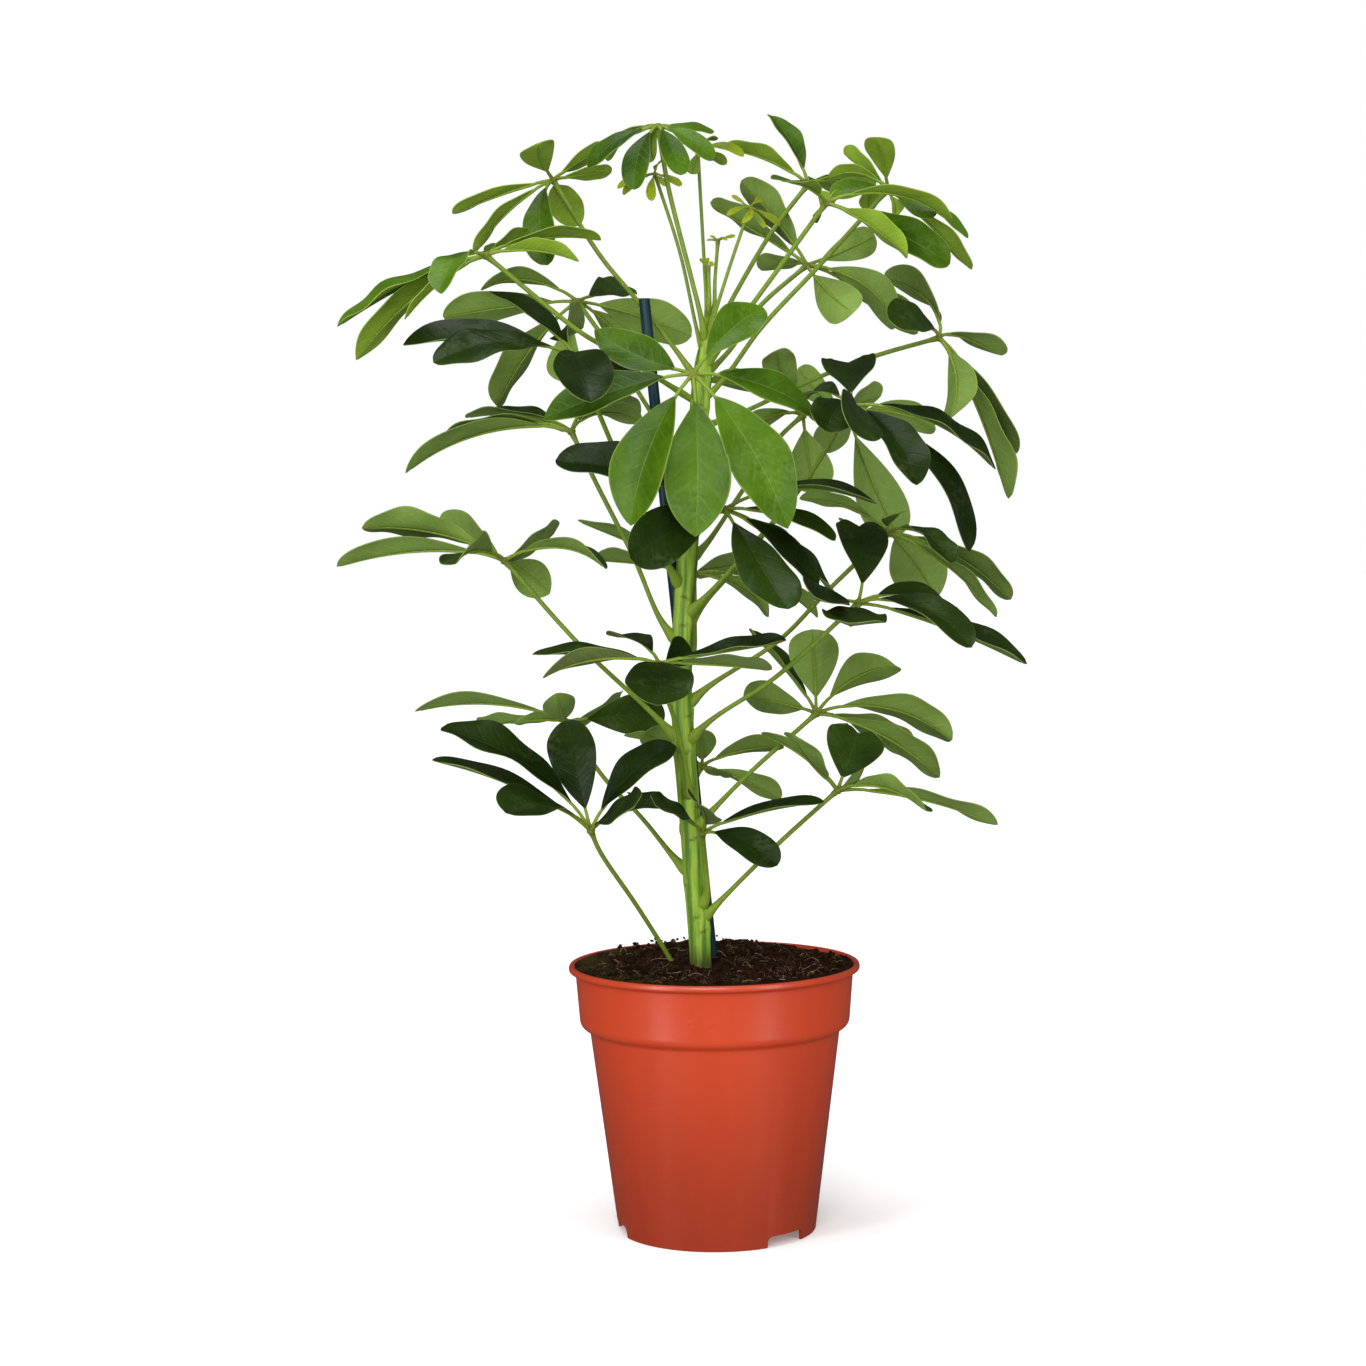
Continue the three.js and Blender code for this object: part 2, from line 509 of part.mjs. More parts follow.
function stalk(curve, build, extra = 0) {
  const length = curve.getLength();
  const swell = (t) => {
    const fromStem = Math.max(0, t * length - 6) / 12;
    return build.tip + (build.base - build.tip) * Math.exp(-Math.pow(fromStem, 1.5));
  };
  const rings = Math.max(4, Math.round(length / 30));
  return solid(rod(curve, swell, 5, rings, extra));
}

function leaf({ petiole, reach, shape = PLAIN_SHAPE, leaflets }) {
  const curve = new THREE.CatmullRomCurve3(petiole.map(sight));
  const hub = curve.getPoint(1);
  const arriving = curve.getTangentAt(1);
  const leafUp = arriving.clone().multiplyScalar(0.45).add(new THREE.Vector3(0, 0, 1)).normalize();
  const build = reach < YOUNG_REACH ? YOUNG : MATURE;
  const knob = new THREE.OctahedronGeometry(build.hub, 0);
  knob.translate(hub.x, hub.y, hub.z);
  const parts = [stalk(curve, build), solid(knob)];
  leaflets.forEach((row) => parts.push(leaflet(hub, row, reach, shape, leafUp, build)));
  return joined(parts).subtract(stemRoom).subtract(stakeRoom);
}

// ---------------------------------------------------------------- pot
const FLOOR_UNDER = 7;
const FLOOR_TOP = 8.6;
const PAD_RADIUS = 15;
const FOOT_RADIUS = 57.9;
const POT_SIDES = 36;
const POT_PROFILE = [
  [0, 0], [PAD_RADIUS, 0], [PAD_RADIUS + 1, FLOOR_UNDER], [FOOT_RADIUS - 1.8, FLOOR_UNDER],
  [FOOT_RADIUS - 1.8, 0], [FOOT_RADIUS, 0], [73.1, 117.5], [77.4, 120.4], [78.7, 123],
  [81, 150.6], [LIP_RADIUS, 152], [LIP_RADIUS, 154.8], [83.8, POT_HEIGHT], [81.2, POT_HEIGHT],
  [79.7, 150.6], [77.2, 124], [71.8, 119], [57.9, FLOOR_TOP], [0, FLOOR_TOP],
];
const NOTCH_BEARINGS = [43, 163, 283];
const NOTCH_SPAN = 27;
const NOTCH_HEIGHT = 6.6;
const DRAIN_HOLES = 4;
const DRAIN_CIRCLE = 36;
const DRAIN_RADIUS = 4.5;

function footNotch(bearing) {
  const half = FOOT_RADIUS * Math.sin(THREE.MathUtils.degToRad(NOTCH_SPAN / 2));
  const outline = new THREE.Shape();
  outline.moveTo(-half, -2);
  outline.lineTo(half, -2);
  outline.lineTo(half, NOTCH_HEIGHT - 3);
  outline.quadraticCurveTo(half, NOTCH_HEIGHT, half - 3, NOTCH_HEIGHT);
  outline.lineTo(3 - half, NOTCH_HEIGHT);
  outline.quadraticCurveTo(-half, NOTCH_HEIGHT, -half, NOTCH_HEIGHT - 3);
  outline.closePath();
  const cutter = new THREE.ExtrudeGeometry(outline, { depth: 20, bevelEnabled: false, curveSegments: 3 });
  cutter.rotateX(Math.PI / 2);
  cutter.translate(0, -FOOT_RADIUS + 12, 0);
  cutter.rotateZ(THREE.MathUtils.degToRad(bearing));
  return solid(cutter);
}

function drainHole(index) {
  const hole = new THREE.CylinderGeometry(DRAIN_RADIUS, DRAIN_RADIUS, 12, 8);
  hole.rotateX(Math.PI / 2);
  hole.translate(DRAIN_CIRCLE, 0, FLOOR_TOP);
  hole.rotateZ((index + 0.5) * 2 * Math.PI / DRAIN_HOLES);
  return solid(hole);
}

function pot() {
  let body = solid(lathe(POT_PROFILE, POT_SIDES));
  NOTCH_BEARINGS.forEach((bearing) => {
    body = body.subtract(footNotch(bearing));
  });
  for (let i = 0; i < DRAIN_HOLES; i += 1) {
    body = body.subtract(drainHole(i));
  }
  return body;
}

// ---------------------------------------------------------------- soil
// The soil's top: a shallow heap behind the stem, lower at the back right, lumpy throughout.
function soilTop(x, y) {
  const heap = 6.5 * Math.exp(-((x + 6) ** 2 + (y - 34) ** 2) / 900);
  const right = -3.5 * Math.exp(-((x - 48) ** 2 + (y - 40) ** 2) / 700);
  const front = 1.2 * Math.exp(-((x - 4) ** 2 + (y + 50) ** 2) / 1500);
  const lumps = 0.7 * Math.sin(x / 6.1 + 1.3) * Math.sin(y / 5.3) + 0.5 * Math.sin((x + y) / 3.7);
  return SOIL_LEVEL + heap + right + front + lumps;
}

function soil(holes) {
  const profile = [
    [0, FLOOR_TOP + CLEAR], [57.4, FLOOR_TOP + CLEAR], [71.4, 119.2],
    [76.7, 124.2], [78.6, 147], [70, SOIL_LEVEL], [58, SOIL_LEVEL], [45, SOIL_LEVEL],
    [31, SOIL_LEVEL], [16, SOIL_LEVEL], [0, SOIL_LEVEL],
  ];
  const heaped = lathe(profile, 28);
  const position = heaped.attributes.position;
  for (let i = 0; i < position.count; i += 1) {
    const z = position.getZ(i);
    const x = position.getX(i);
    const y = position.getY(i);
    if (z > SOIL_LEVEL - 1) position.setZ(i, soilTop(x, y));
  }
  return holes.reduce((left, hole) => left.subtract(hole), solid(heaped));
}

// ---------------------------------------------------------------- the plant
const group = new THREE.Group();
group.name = "umbrella_plant";

function put(name, manifold, colour, roughness) {
  const material = new THREE.MeshStandardMaterial({ color: colour, roughness, metalness: 0 });
  const mesh = new THREE.Mesh(geometryOf(manifold), material);
  mesh.name = name;
  group.add(mesh);
}

const GREENS = { dark: 0x24421a, middle: 0x3f6b1f, pale: 0x6d8f3c, young: 0x8aa83a };
const TONES = {
  dark: ["leaf_front_left", "leaf_dark_right", "leaf_front_dark", "leaf_right_low_dark",
    "leaf_lowest_left", "leaf_low_centre", "leaf_low_front"],
  young: ["leaf_young_left", "leaf_young_centre", "leaf_young_right", "leaf_bud_right",
    "leaf_bud_centre"],
  middle: ["leaf_top", "leaf_centre", "leaf_crown_left", "leaf_crown_right", "leaf_crown_back",
    "leaf_crown_far_right"],
};

function toneOf(name) {
  const found = Object.keys(TONES).find((tone) => TONES[tone].includes(name));
  return GREENS[found || "pale"];
}

const leaves = Object.entries(LEAVES).map(([name, plan]) => [name, leaf(plan)]);

const rootedCurve = new THREE.CatmullRomCurve3(LEAVES.leaf_lowest_left.petiole.map(sight));
const petioleHole = stalk(rootedCurve, MATURE, CLEAR);

put("pot", pot(), 0xb8452a, 0.38);
put("soil", soil([stemRoom, stakeRoom, petioleHole]), 0x2b1c14, 0.95);
put("stem", stem, 0x6f9a34, 0.5);
put("stake", stake, 0x12333f, 0.45);
leaves.forEach(([name, solidLeaf]) => put(name, solidLeaf, toneOf(name), 0.42));

export default group;
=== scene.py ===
"""A potted umbrella plant: a staked green stem with some thirty compound leaves in a nursery pot.

Shapes are worked out in millimetres, +Z up, with the viewer on -Y and the origin on the pot's
axis at the floor. A finished piece is made in metres, with its place in its mesh.
"""

import math
import random

import bmesh
import bpy
import numpy as np
from mathutils import Matrix, Vector, noise


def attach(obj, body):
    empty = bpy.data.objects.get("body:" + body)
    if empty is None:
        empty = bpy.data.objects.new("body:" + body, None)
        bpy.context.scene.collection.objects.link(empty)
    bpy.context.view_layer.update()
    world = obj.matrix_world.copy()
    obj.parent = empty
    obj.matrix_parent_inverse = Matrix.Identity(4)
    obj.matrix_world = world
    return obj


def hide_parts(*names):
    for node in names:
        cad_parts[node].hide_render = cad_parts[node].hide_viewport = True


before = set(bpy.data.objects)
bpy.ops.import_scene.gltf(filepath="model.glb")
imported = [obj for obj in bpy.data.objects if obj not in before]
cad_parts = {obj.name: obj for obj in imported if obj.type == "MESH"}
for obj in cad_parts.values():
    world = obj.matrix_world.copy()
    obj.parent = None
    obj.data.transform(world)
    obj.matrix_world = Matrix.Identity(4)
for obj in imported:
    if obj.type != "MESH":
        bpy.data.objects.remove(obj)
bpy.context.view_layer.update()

bl_info = {
    "name": "Potted umbrella plant",
    "version": (1, 0, 0),
    "blender": (4, 5, 0),
    "location": "View3D > Sidebar > Plant",
    "description": "Makes an umbrella plant on a stake in a nursery pot",
    "category": "Add Mesh",
}

# ---------------------------------------------------------------- sizes that hold everything together
METRES = 0.001
# Where the camera stands. The plant's layout is written along lines of sight from here.
EYE = Vector((0.0, -1500.0, 397.0))
UP = Vector((0.0, 0.0, 1.0))
# A direction that no stalk runs along, from which the turn round a rod is counted.
ROD_LEAD = Vector((0.31, -0.9, 0.3)).normalized()
# Points nearer than this are one point.
WELD = 0.001
# Edges that bend more than this, in radians, are drawn sharp.
SHARP_ANGLE = 0.9
# Heights of the soil's middle, the pot's lip and the top of the pot's floor.
SOIL_LEVEL = 151.5
POT_HEIGHT = 156.0
FLOOR_TOP = 8.6
# The number that the crumbs' random draws start from, and the fibres' from the next one.
SEED = 11

# ---------------------------------------------------------------- the plant's layout
# A point of the plant is written (across, up, near): millimetres right and up in the plane of
# the pot's axis, then millimetres towards the viewer along the line of sight.
STEM_LINE = [
    (-8, 105, 0), (-8, 158, 0), (-11, 205, 0), (-14, 252, 0), (-17.3, 306, 0), (-16.2, 350, 0),
    (-13.2, 388, 0), (-8.6, 440, 0), (-3.7, 490, 0), (-0.2, 525, 0), (0.6, 533, 0),
]
# The stake's top, a second point that it passes through, and the height of its foot.
STAKE_TOP = (-36, 542, -12)
STAKE_LOW = (-2.6, 175, -12)
STAKE_FOOT = 45.0

# A leaf: its petiole from the stem's middle to the hub, how long its leaflets are, and the
# leaflets as (across, up, seen, lean, bow, sway). |seen| is the width as it looks from the
# front, negative where the pale underside shows. lean is the share of the leaflet's length that
# points at the viewer (+) or away (-); bow is how far the midrib arches, over its length, and
# sway how far it curves sideways within the blade.
# A leaf may also give the shape of its blades (least width over length), the tip (how pointed
# their ends are, see PLAIN_TIP) and the tone its upper sides are coloured with. high_left's green
# tone is painted light, which lightens it for the sheen of the light from above.
LEAVES = {
    "crown_left": {
        "finish": "green", "reach": 62,
        "petiole": [
            (-6.5, 496, 0), (-20, 515, -14), (-40, 541, -26), (-61, 567, -32), (-87.5, 610.5, -38),
        ],
        "leaflets": [
            (-96.5, 631.5, -21.4, 0.85, 0.06, 0.03), (-146, 592.5, -6.3, 0.3, 0.06, 0.03),
            (-134, 569, -6.5, 0.2, 0.11, 0.02), (-91.5, 562, 17.7, 0.8, 0.22, -0.01),
            (-73, 584.5, -20.1, -0.85, 0.12, -0.02), (-54, 614.5, -8.3, -0.5, 0.05, 0),
            (-59, 628, -9.4, -0.6, 0.05, 0),
        ],
    },
    "high_left": {
        # Painted light: the green tone lightens this leaf for the sheen of the light from above.
        "finish": "light", "tone": "green", "tip": 0.8, "reach": 92,
        "petiole": [
            (-9.5, 484, 0), (-25, 494, 14), (-55, 512.4, 36), (-74, 524, 50), (-127, 568, 58),
        ],
        "leaflets": [
            (-213.5, 528.5, 4.9, 0.1, 0.08, -0.02), (-203, 509, -13.7, 0.2, 0.1, -0.01),
            (-174.5, 532, -4, 0.3, 0.1, 0), (-153, 546.5, 9.3, 0.6, 0.17, 0.02),
            (-60.5, 576, -4.5, -0.5, 0.11, -0.02), (-73.5, 564, -7.9, 0.1, 0.13, 0),
            (-102.5, 579.5, -3.8, -0.7, 0.06, -0.08), (-124.5, 574.5, 5.4, -0.2, 0.02, 0.05),
        ],
    },
    "back_left": {
        "finish": "light", "reach": 88,
        "petiole": [
            (-8.2, 450, 0), (-20, 460, -14), (-31, 474, -24), (-55, 513, -40), (-74.5, 541, -50),
        ],
        "leaflets": [
            (-129.5, 549.5, -11, 0.4, 0.2, 0.02), (-152.5, 533.5, -19.2, 0.1, 0.07, 0.03),
            (-122.5, 482, -16.8, 0.2, 0.1, 0), (-81.5, 495, -20.8, 0.4, 0.2, -0.04),
            (-45, 549, 15.8, -0.7, 0.05, 0.01), (-9, 520, -24.3, -0.3, 0.1, 0.01),
            (-33, 502, -20, -0.5, 0.1, 0),
        ],
    },
    "front_left": {
        "finish": "dark", "reach": 100,
        "petiole": [
            (-15.5, 373, 0), (-31, 401, 18), (-62, 474, 44), (-76, 509, 54),
        ],
        "leaflets": [
            (-175.5, 517.5, 12.7, -0.2, 0.11, -0.02), (-158.5, 507, 15.4, 0.6, 0.14, 0.02),
            (-123, 547, 10.8, -0.5, 0.06, 0.03), (-67.5, 483, 30.5, 0.85, 0.14, 0.02),
            (-37.5, 501, 7.3, 0.1, 0.04, 0.04), (-71.5, 526, 7.1, -0.7, 0.17, 0.05),
        ],
    },
    "mid_left": {
        "finish": "light", "tip": 0.78, "reach": 100,
        "petiole": [
            (-16.5, 340, 0), (-29, 357, 3), (-43.5, 392, 2), (-66, 438, -6), (-79, 466, -12),
        ],
        "leaflets": [
            (-175.5, 443.5, -6.9, 0.4, 0.16, 0.05), (-140, 475, 3.9, -0.5, 0.1, 0.06),
            (-157, 458.5, -4.1, -0.2, 0.15, 0.02), (-38.5, 472, -4.4, -0.5, 0.18, -0.05),
            (-42, 470, -6, -0.8, 0.2, 0), (-104, 471.5, -8, -0.9, 0.02, -0.05),
        ],
    },
    "low_left": {
        "finish": "light", "tip": 0.7, "reach": 96,
        "petiole": [
            (-17, 284, 0), (-34, 302, 5), (-75, 341.5, 10), (-119, 392, 8),
        ],
        "leaflets": [
            (-201.5, 412, -15.4, 0.1, 0.12, 0), (-216.5, 390, -8.1, 0.1, 0.1, -0.02),
            (-147.5, 390.5, -12.1, 0.8, 0.13, 0), (-156, 416.5, -13.5, -0.6, 0.07, 0.06),
            (-89, 409.5, -10.2, -0.9, 0.02, -0.06), (-93, 372.5, -21.9, -0.35, 0.14, 0.03),
            (-60, 386.5, -4.8, 0.4, 0.19, -0.02),
        ],
    },
    "top": {
        "finish": "green", "reach": 50,
        "petiole": [
            (-1.6, 514, 0), (-2.6, 527, 6), (-9, 555, 6), (-16, 583, 5), (-21.5, 607, 5),
            (-27, 640.5, 4),
        ],
        "leaflets": [
            (-67.5, 618, 8.9, 0.3, 0.12, 0), (-56, 621, -5.3, -0.6, 0.19, -0.01),
            (-41, 604.5, 14.2, 0.75, 0.16, 0.02), (-14, 612.5, 13.7, 0.75, 0.15, 0.04),
            (4.5, 620.5, 9.9, 0.5, 0.12, 0), (5.5, 637, 4.7, -0.2, 0.07, 0.02),
            (-16, 641, 2, -0.8, -0.01, -0.03), (-29.5, 621, -7.2, -0.8, 0.1, -0.01),
        ],
    },
    "young_left": {
        "finish": "young", "reach": 25, "shape": 0.3,
        "petiole": [
            (-2, 507, 0), (-6.5, 527, -6), (-15, 568, -8), (-29, 613.5, -10),
        ],
        "leaflets": [
            (-31, 598, 5.7, 0.5, 0.11, 0.03), (-13.5, 606.5, 3.9, 0.2, 0.1, 0),
            (-21.5, 606.5, 3.8, 0.3, 0.04, 0.02), (-26, 619.5, 1.9, -0.7, 0.09, 0.04),
            (-50.5, 605.5, 3.7, 0.1, 0.11, 0), (-47.5, 602, 4.9, -0.5, 0.16, 0),
        ],
    },
    "young_centre": {
        "finish": "young", "reach": 30,
        "petiole": [
            (-0.2, 524, 0), (0, 536, -5), (-1, 560, -9), (-4, 627.5, -14),
        ],
        "leaflets": [
            (-7.5, 613, -7.7, 0.3, 0.09, -0.01), (12.5, 618.5, -5.8, -0.3, 0.07, 0.01),
            (22.5, 623, 4.9, 0.1, 0.15, -0.01), (6, 632, 1.8, -0.8, 0.12, -0.06),
            (-14, 630, 3, -0.7, 0.1, 0),
        ],
    },
    "young_right": {
        "finish": "young", "reach": 21, "shape": 0.2,
        "petiole": [
            (-0.5, 518, 0), (5, 534, 8), (14, 561, 12), (25.5, 593.5, 14),
        ],
        "leaflets": [
            (15.5, 600.5, 2.4, -0.5, 0.07, -0.04), (32.5, 598, 3.6, -0.6, 0.11, -0.06),
            (12, 589, 3, 0.5, 0.13, 0.03), (21, 584.5, 3.9, 0.8, 0.14, -0.1),
            (34, 581.5, 2.7, 0.5, 0.08, 0.01), (43, 583.5, 3.5, 0.1, 0.11, 0),
        ],
    },
    "bud_right": {
        "finish": "young", "reach": 11, "shape": 0.2,
        "petiole": [
            (0, 527, 0), (4, 535, -1), (5, 552, -3), (7, 575, -3),
        ],
        "leaflets": [
            (0.5, 575, 1, 0.2, 0.1, 0), (2.5, 577.5, 1, -0.4, 0.1, 0),
            (17, 577.5, 2.1, 0.1, -0.06, -0.03), (12.5, 575, 1.3, 0.6, 0.2, -0.05),
        ],
    },
    "bud_centre": {
        "finish": "young", "reach": 6.5, "shape": 0.3,
        "petiole": [
            (0.4, 529, 0), (1.5, 541, 5), (1.2, 559.5, 6),
        ],
        "leaflets": [
            (-3.5, 564.5, 1.7, 0.2, 0.07, -0.03), (4, 562.5, 3.3, 0.2, 0.11, 0.03),
            (1, 565, 2.6, -0.5, 0.06, -0.07),
        ],
    },
    "crown_back": {
        "finish": "green", "reach": 64,
        "petiole": [
            (-1.3, 511, 0), (8, 529, -12), (38.5, 580, -30), (59, 606, -40),
        ],
        "leaflets": [
            (38.5, 645.5, 11.5, -0.7, 0.08, 0), (9, 627.5, -8.1, 0.3, 0.11, -0.01),
            (76, 601, -8, -0.95, 0.1, 0), (97, 604, -6, -0.7, 0.1, 0),
            (62, 588.5, -8.5, 0.6, 0.18, 0.05),
        ],
    },
    "crown_right": {
        "finish": "green", "reach": 80,
        "petiole": [
            (-2.6, 500, 0), (12, 519, 12), (40, 556, 26), (69.5, 595.5, 38),
        ],
        "leaflets": [
            (43, 609, -6.9, 0.8, 0.07, -0.01), (142, 583.5, -4.1, -0.1, 0.17, 0.02),
            (116, 565, -12.1, 0.5, 0.09, -0.01), (140.5, 560, 18.8, -0.4, 0.07, 0.01),
            (76.5, 601, -5.5, -0.25, 0.04, -0.07),
        ],
    },
    "crown_far_right": {
        "finish": "green", "reach": 58,
        "petiole": [
            (-4.5, 481, 0), (10.5, 496.5, 4), (31, 524, 2), (64.5, 559, -4), (105, 602.5, -8),
        ],
        "leaflets": [
            (98, 632.5, -16.2, 0.8, 0.03, -0.02), (80, 624, -7, -0.8, 0.05, 0.01),
            (71.5, 600.5, 10.6, 0.3, 0.11, 0.01), (70.5, 609.5, -6.8, -0.3, 0.19, -0.06),
            (94.5, 590.5, -8.1, -0.6, 0.15, -0.08), (108.5, 584.5, -8, 0.5, 0.1, 0),
            (151, 574.5, 5.2, 0.1, 0.1, 0), (153, 556.5, -7.6, 0.1, 0.06, 0),
            (130.5, 586, 11.7, 0.7, 0.09, 0.01),
        ],
    },
    "right_back": {
        "finish": "light", "reach": 78,
        "petiole": [
            (-2.6, 496, 0), (14, 513, -14), (30, 536, -24), (58, 560, -36),
        ],
        "leaflets": [
            (21, 609, -17.5, -0.2, 0.06, -0.01), (3, 596.5, -10.7, -0.3, 0.03, -0.01),
            (32, 557.5, -8.8, -0.7, 0.08, 0.02), (97.5, 576, -17.8, 0.3, 0.19, -0.01),
            (121.5, 520, -16, -0.5, 0.1, 0), (109, 525, -20.5, 0.45, 0.15, 0.09),
            (84.5, 532.5, -24.4, 0.75, 0.02, -0.03),
        ],
    },
    "far_right": {
        "finish": "light", "reach": 98,
        "petiole": [
            (-6, 467, 0), (20, 476, -16), (60, 494, -30), (95.5, 507, -32), (134, 517.5, -28),
        ],
        "leaflets": [
            (105, 528.5, 14, 0.6, 0.1, 0.03), (102.5, 552.5, -8.9, -0.6, 0.18, 0.02),
            (170, 507, -6.7, -0.6, 0.11, -0.08), (140.5, 471.5, -20.2, 0.6, 0.1, 0.06),
            (173.5, 424.5, -10, 0.2, 0.07, -0.01), (177.5, 450, -5.4, -0.3, 0.07, -0.02),
        ],
    },
    "dark_right": {
        "finish": "dark", "reach": 94,
        "petiole": [
            (-15.6, 357, 0), (-2, 370, 10), (15, 388, 18), (57, 437, 34), (82.5, 479, 42),
        ],
        "leaflets": [
            (80.5, 505.5, 31.4, -0.75, 0.06, 0.02), (55.5, 481.5, 8.2, -0.5, 0.19, 0.01),
            (68, 464.5, 23, 0.7, 0.1, 0.04), (83.5, 464.5, 19.4, 0.95, 0.08, 0.01),
            (166, 441.5, 7.6, -0.1, 0.15, 0), (120.5, 433, 18.2, 0.6, 0.14, -0.03),
            (151, 394.5, 13.4, 0.2, 0.16, 0),
        ],
    },
    "behind_right": {
        "finish": "light", "reach": 70,
        "petiole": [
            (-13, 390, 0), (-2, 400, -12), (19, 430, -26), (41, 461, -40), (55, 474, -46),
        ],
        "leaflets": [
            (61, 429.5, -27.4, -0.1, 0.13, -0.01), (40.5, 511.5, -19.9, 0.7, 0.12, 0.05),
            (1, 494.5, -12, 0.5, 0.12, 0), (18, 457.5, -12.5, -0.4, 0.22, -0.04),
            (76, 473, -12, -0.4, 0.1, 0),
        ],
    },
    "behind_far_right": {
        "finish": "light", "reach": 84,
        "petiole": [
            (-16, 346, 0), (-3, 366, -14), (15, 386, -26), (57, 437, -62), (81, 475, -78),
        ],
        "leaflets": [
            (53, 501.5, -17.1, -0.2, 0.08, 0.07), (131.5, 465, -16.5, 0.3, 0.11, 0.06),
            (109, 403.5, -29.5, -0.2, 0.08, -0.02), (70, 452, -20, -0.8, 0.1, 0),
            (100, 484.5, -12.8, -0.8, 0.08, -0.05),
        ],
    },
    "right_mid": {
        "finish": "light", "reach": 86,
        "petiole": [
            (-16.9, 304, 0), (-2, 317, -2), (40, 344, -12), (68, 372, -18), (103.5, 405.5, -26),
        ],
        "leaflets": [
            (52.5, 426, -8, -0.2, 0.14, 0.01), (110.5, 416.5, 8.3, -0.4, 0.08, -0.04),
            (140, 387.5, 6.1, 0.6, 0.19, 0.02), (174.5, 366, -12.2, -0.2, 0.12, 0),
            (166, 356, -7, 0.3, 0.1, 0.01), (131, 367, -34.9, -0.75, 0.11, 0.04),
        ],
    },
    "front_dark": {
        "finish": "dark", "reach": 100,
        "petiole": [
            (-11.5, 407, 0), (-6, 411, 20), (0, 416, 38), (9, 420, 60),
        ],
        "leaflets": [
            (45.5, 362, 25.7, 0.8, 0.07, 0.04), (63, 375, 12.5, -0.1, 0.11, 0.01),
            (73.5, 367.5, 7.4, -0.65, 0.09, -0.03), (73, 401.5, 7.3, 0.2, 0.11, 0),
            (97, 422.5, 5, -0.2, 0.15, 0.01), (-88.5, 449.5, 20.1, 0.1, 0.11, -0.01),
            (-46, 392.5, 30.6, 0.75, 0.08, 0.04),
        ],
    },
    "right_low_dark": {
        "finish": "dark", "reach": 102,
        "petiole": [
            (-16.3, 283, 0), (0, 298, 10), (37, 322, 24), (86, 365, 42),
        ],
        "leaflets": [
            (85, 413.5, 30.5, -0.8, 0.05, 0.04), (60.5, 369, 11.9, 0.75, 0, 0.04),
            (80, 353.5, 33, 0.95, -0.01, -0.02), (183.5, 328.5, 8, 0.1, 0.06, -0.01),
            (151.5, 338.5, 13.4, 0.5, 0.17, -0.03), (140.5, 361.5, 9.9, -0.5, 0.13, -0.01),
        ],
    },
    "right_light": {
        "finish": "light", "reach": 84,
        "petiole": [
            (-13, 232, 0), (-4, 241, 4), (20, 265, -4), (61, 301, -14),
        ],
        "leaflets": [
            (59, 350, -29.4, 0.2, 0.06, -0.01), (107, 328.5, -20.9, 0.7, 0.12, 0.04),
            (140, 285, -16.6, 0.1, 0.18, 0.02), (132.5, 263, -14.5, 0.1, 0.1, 0.03),
            (116.5, 275, -14.2, -0.6, 0.11, 0), (19, 312, -18.3, -0.6, 0.03, -0.02),
            (23, 350, 5.2, -0.5, 0.06, 0),
        ],
    },
    "lowest_right": {
        "finish": "light", "reach": 96,
        "petiole": [
            (-9.6, 178, 0), (2, 190, 4), (38, 225, 8), (73, 256, 10),
        ],
        "leaflets": [
            (29, 290, -2.1, -0.1, 0.1, 0), (50, 287.5, -8.4, 0.7, 0.01, 0.06),
            (86.5, 292.5, 34.7, -0.3, 0.08, 0), (166, 235, -6.7, 0.1, 0.08, -0.01),
            (125, 243.5, -8.3, 0.6, 0.13, 0.05), (84, 264.5, -6, -0.9, -0.01, 0.03),
        ],
    },
    "lowest_left": {
        "finish": "dark", "reach": 106,
        "petiole": [
            (-19.2, 146, -16), (-27, 160.5, -14), (-45, 190, 4), (-66, 222, 28), (-71, 234, 36),
        ],
        "leaflets": [
            (-157.5, 295, 16.2, -0.1, 0.13, 0), (-163, 276.5, 6.3, 0.2, 0.08, 0),
            (-120.5, 245, 9.6, 0.8, 0.11, 0.09), (-84.5, 298.5, 27.6, -0.3, 0.12, -0.01),
            (-21.5, 283.5, 17.8, -0.2, 0.15, 0), (-45.5, 248, 8.4, 0.7, 0.04, -0.02),
            (-20.5, 247.5, 7, 0, 0.16, -0.02),
        ],
    },
    "low_back_left": {
        "finish": "light", "tip": 0.75, "reach": 90,
        "petiole": [
            (-11.5, 206, 0), (-22, 217, -6), (-41, 241, -22), (-63, 265, -40), (-85, 298, -60),
        ],
        "leaflets": [
            (-172.5, 305, -4.9, 0.1, 0.11, 0), (-134.5, 296, -5.1, -0.7, 0.05, 0),
            (-114.5, 297.5, -6.7, 0.2, 0.05, -0.05), (-90, 314.5, -19.7, 0.55, -0.06, 0.01),
            (-52.5, 314, -8.3, -0.7, -0.06, -0.03), (-27, 301.5, 26.6, -0.5, 0.12, -0.02),
            (-81.5, 287.5, -16.7, -0.5, 0.1, 0.06),
        ],
    },
    "centre": {
        "finish": "green", "tip": 0.92, "reach": 102,
        "petiole": [
            (-8.6, 437, 0), (-7.5, 450, 26), (-7, 476, 66), (-8.3, 498.5, 88),
        ],
        "leaflets": [
            (-65, 524.5, 20.7, -0.4, -0.03, -0.02), (33, 535.5, 22.5, -0.4, 0.12, -0.03),
            (-95, 473.5, 19.6, -0.1, 0.08, 0), (-45.5, 411.5, 28.9, 0.4, 0.08, 0.05),
            (-8, 404.5, 35.9, 0.3, 0.09, -0.02), (45.5, 408.5, 32.5, 0.2, 0.1, -0.03),
            (63, 473.5, 16.2, -0.3, 0.11, -0.02),
        ],
    },
    "low_centre": {
        "finish": "dark", "reach": 80,
        "petiole": [
            (-14, 251, 0), (-14, 261, 12), (-20, 293, 26), (-26, 313, 42), (-30, 331, 54),
        ],
        "leaflets": [
            (-56, 347.5, 9.8, -0.7, 0.11, 0.02), (-103.5, 337.5, 6, -0.3, 0.06, 0.02),
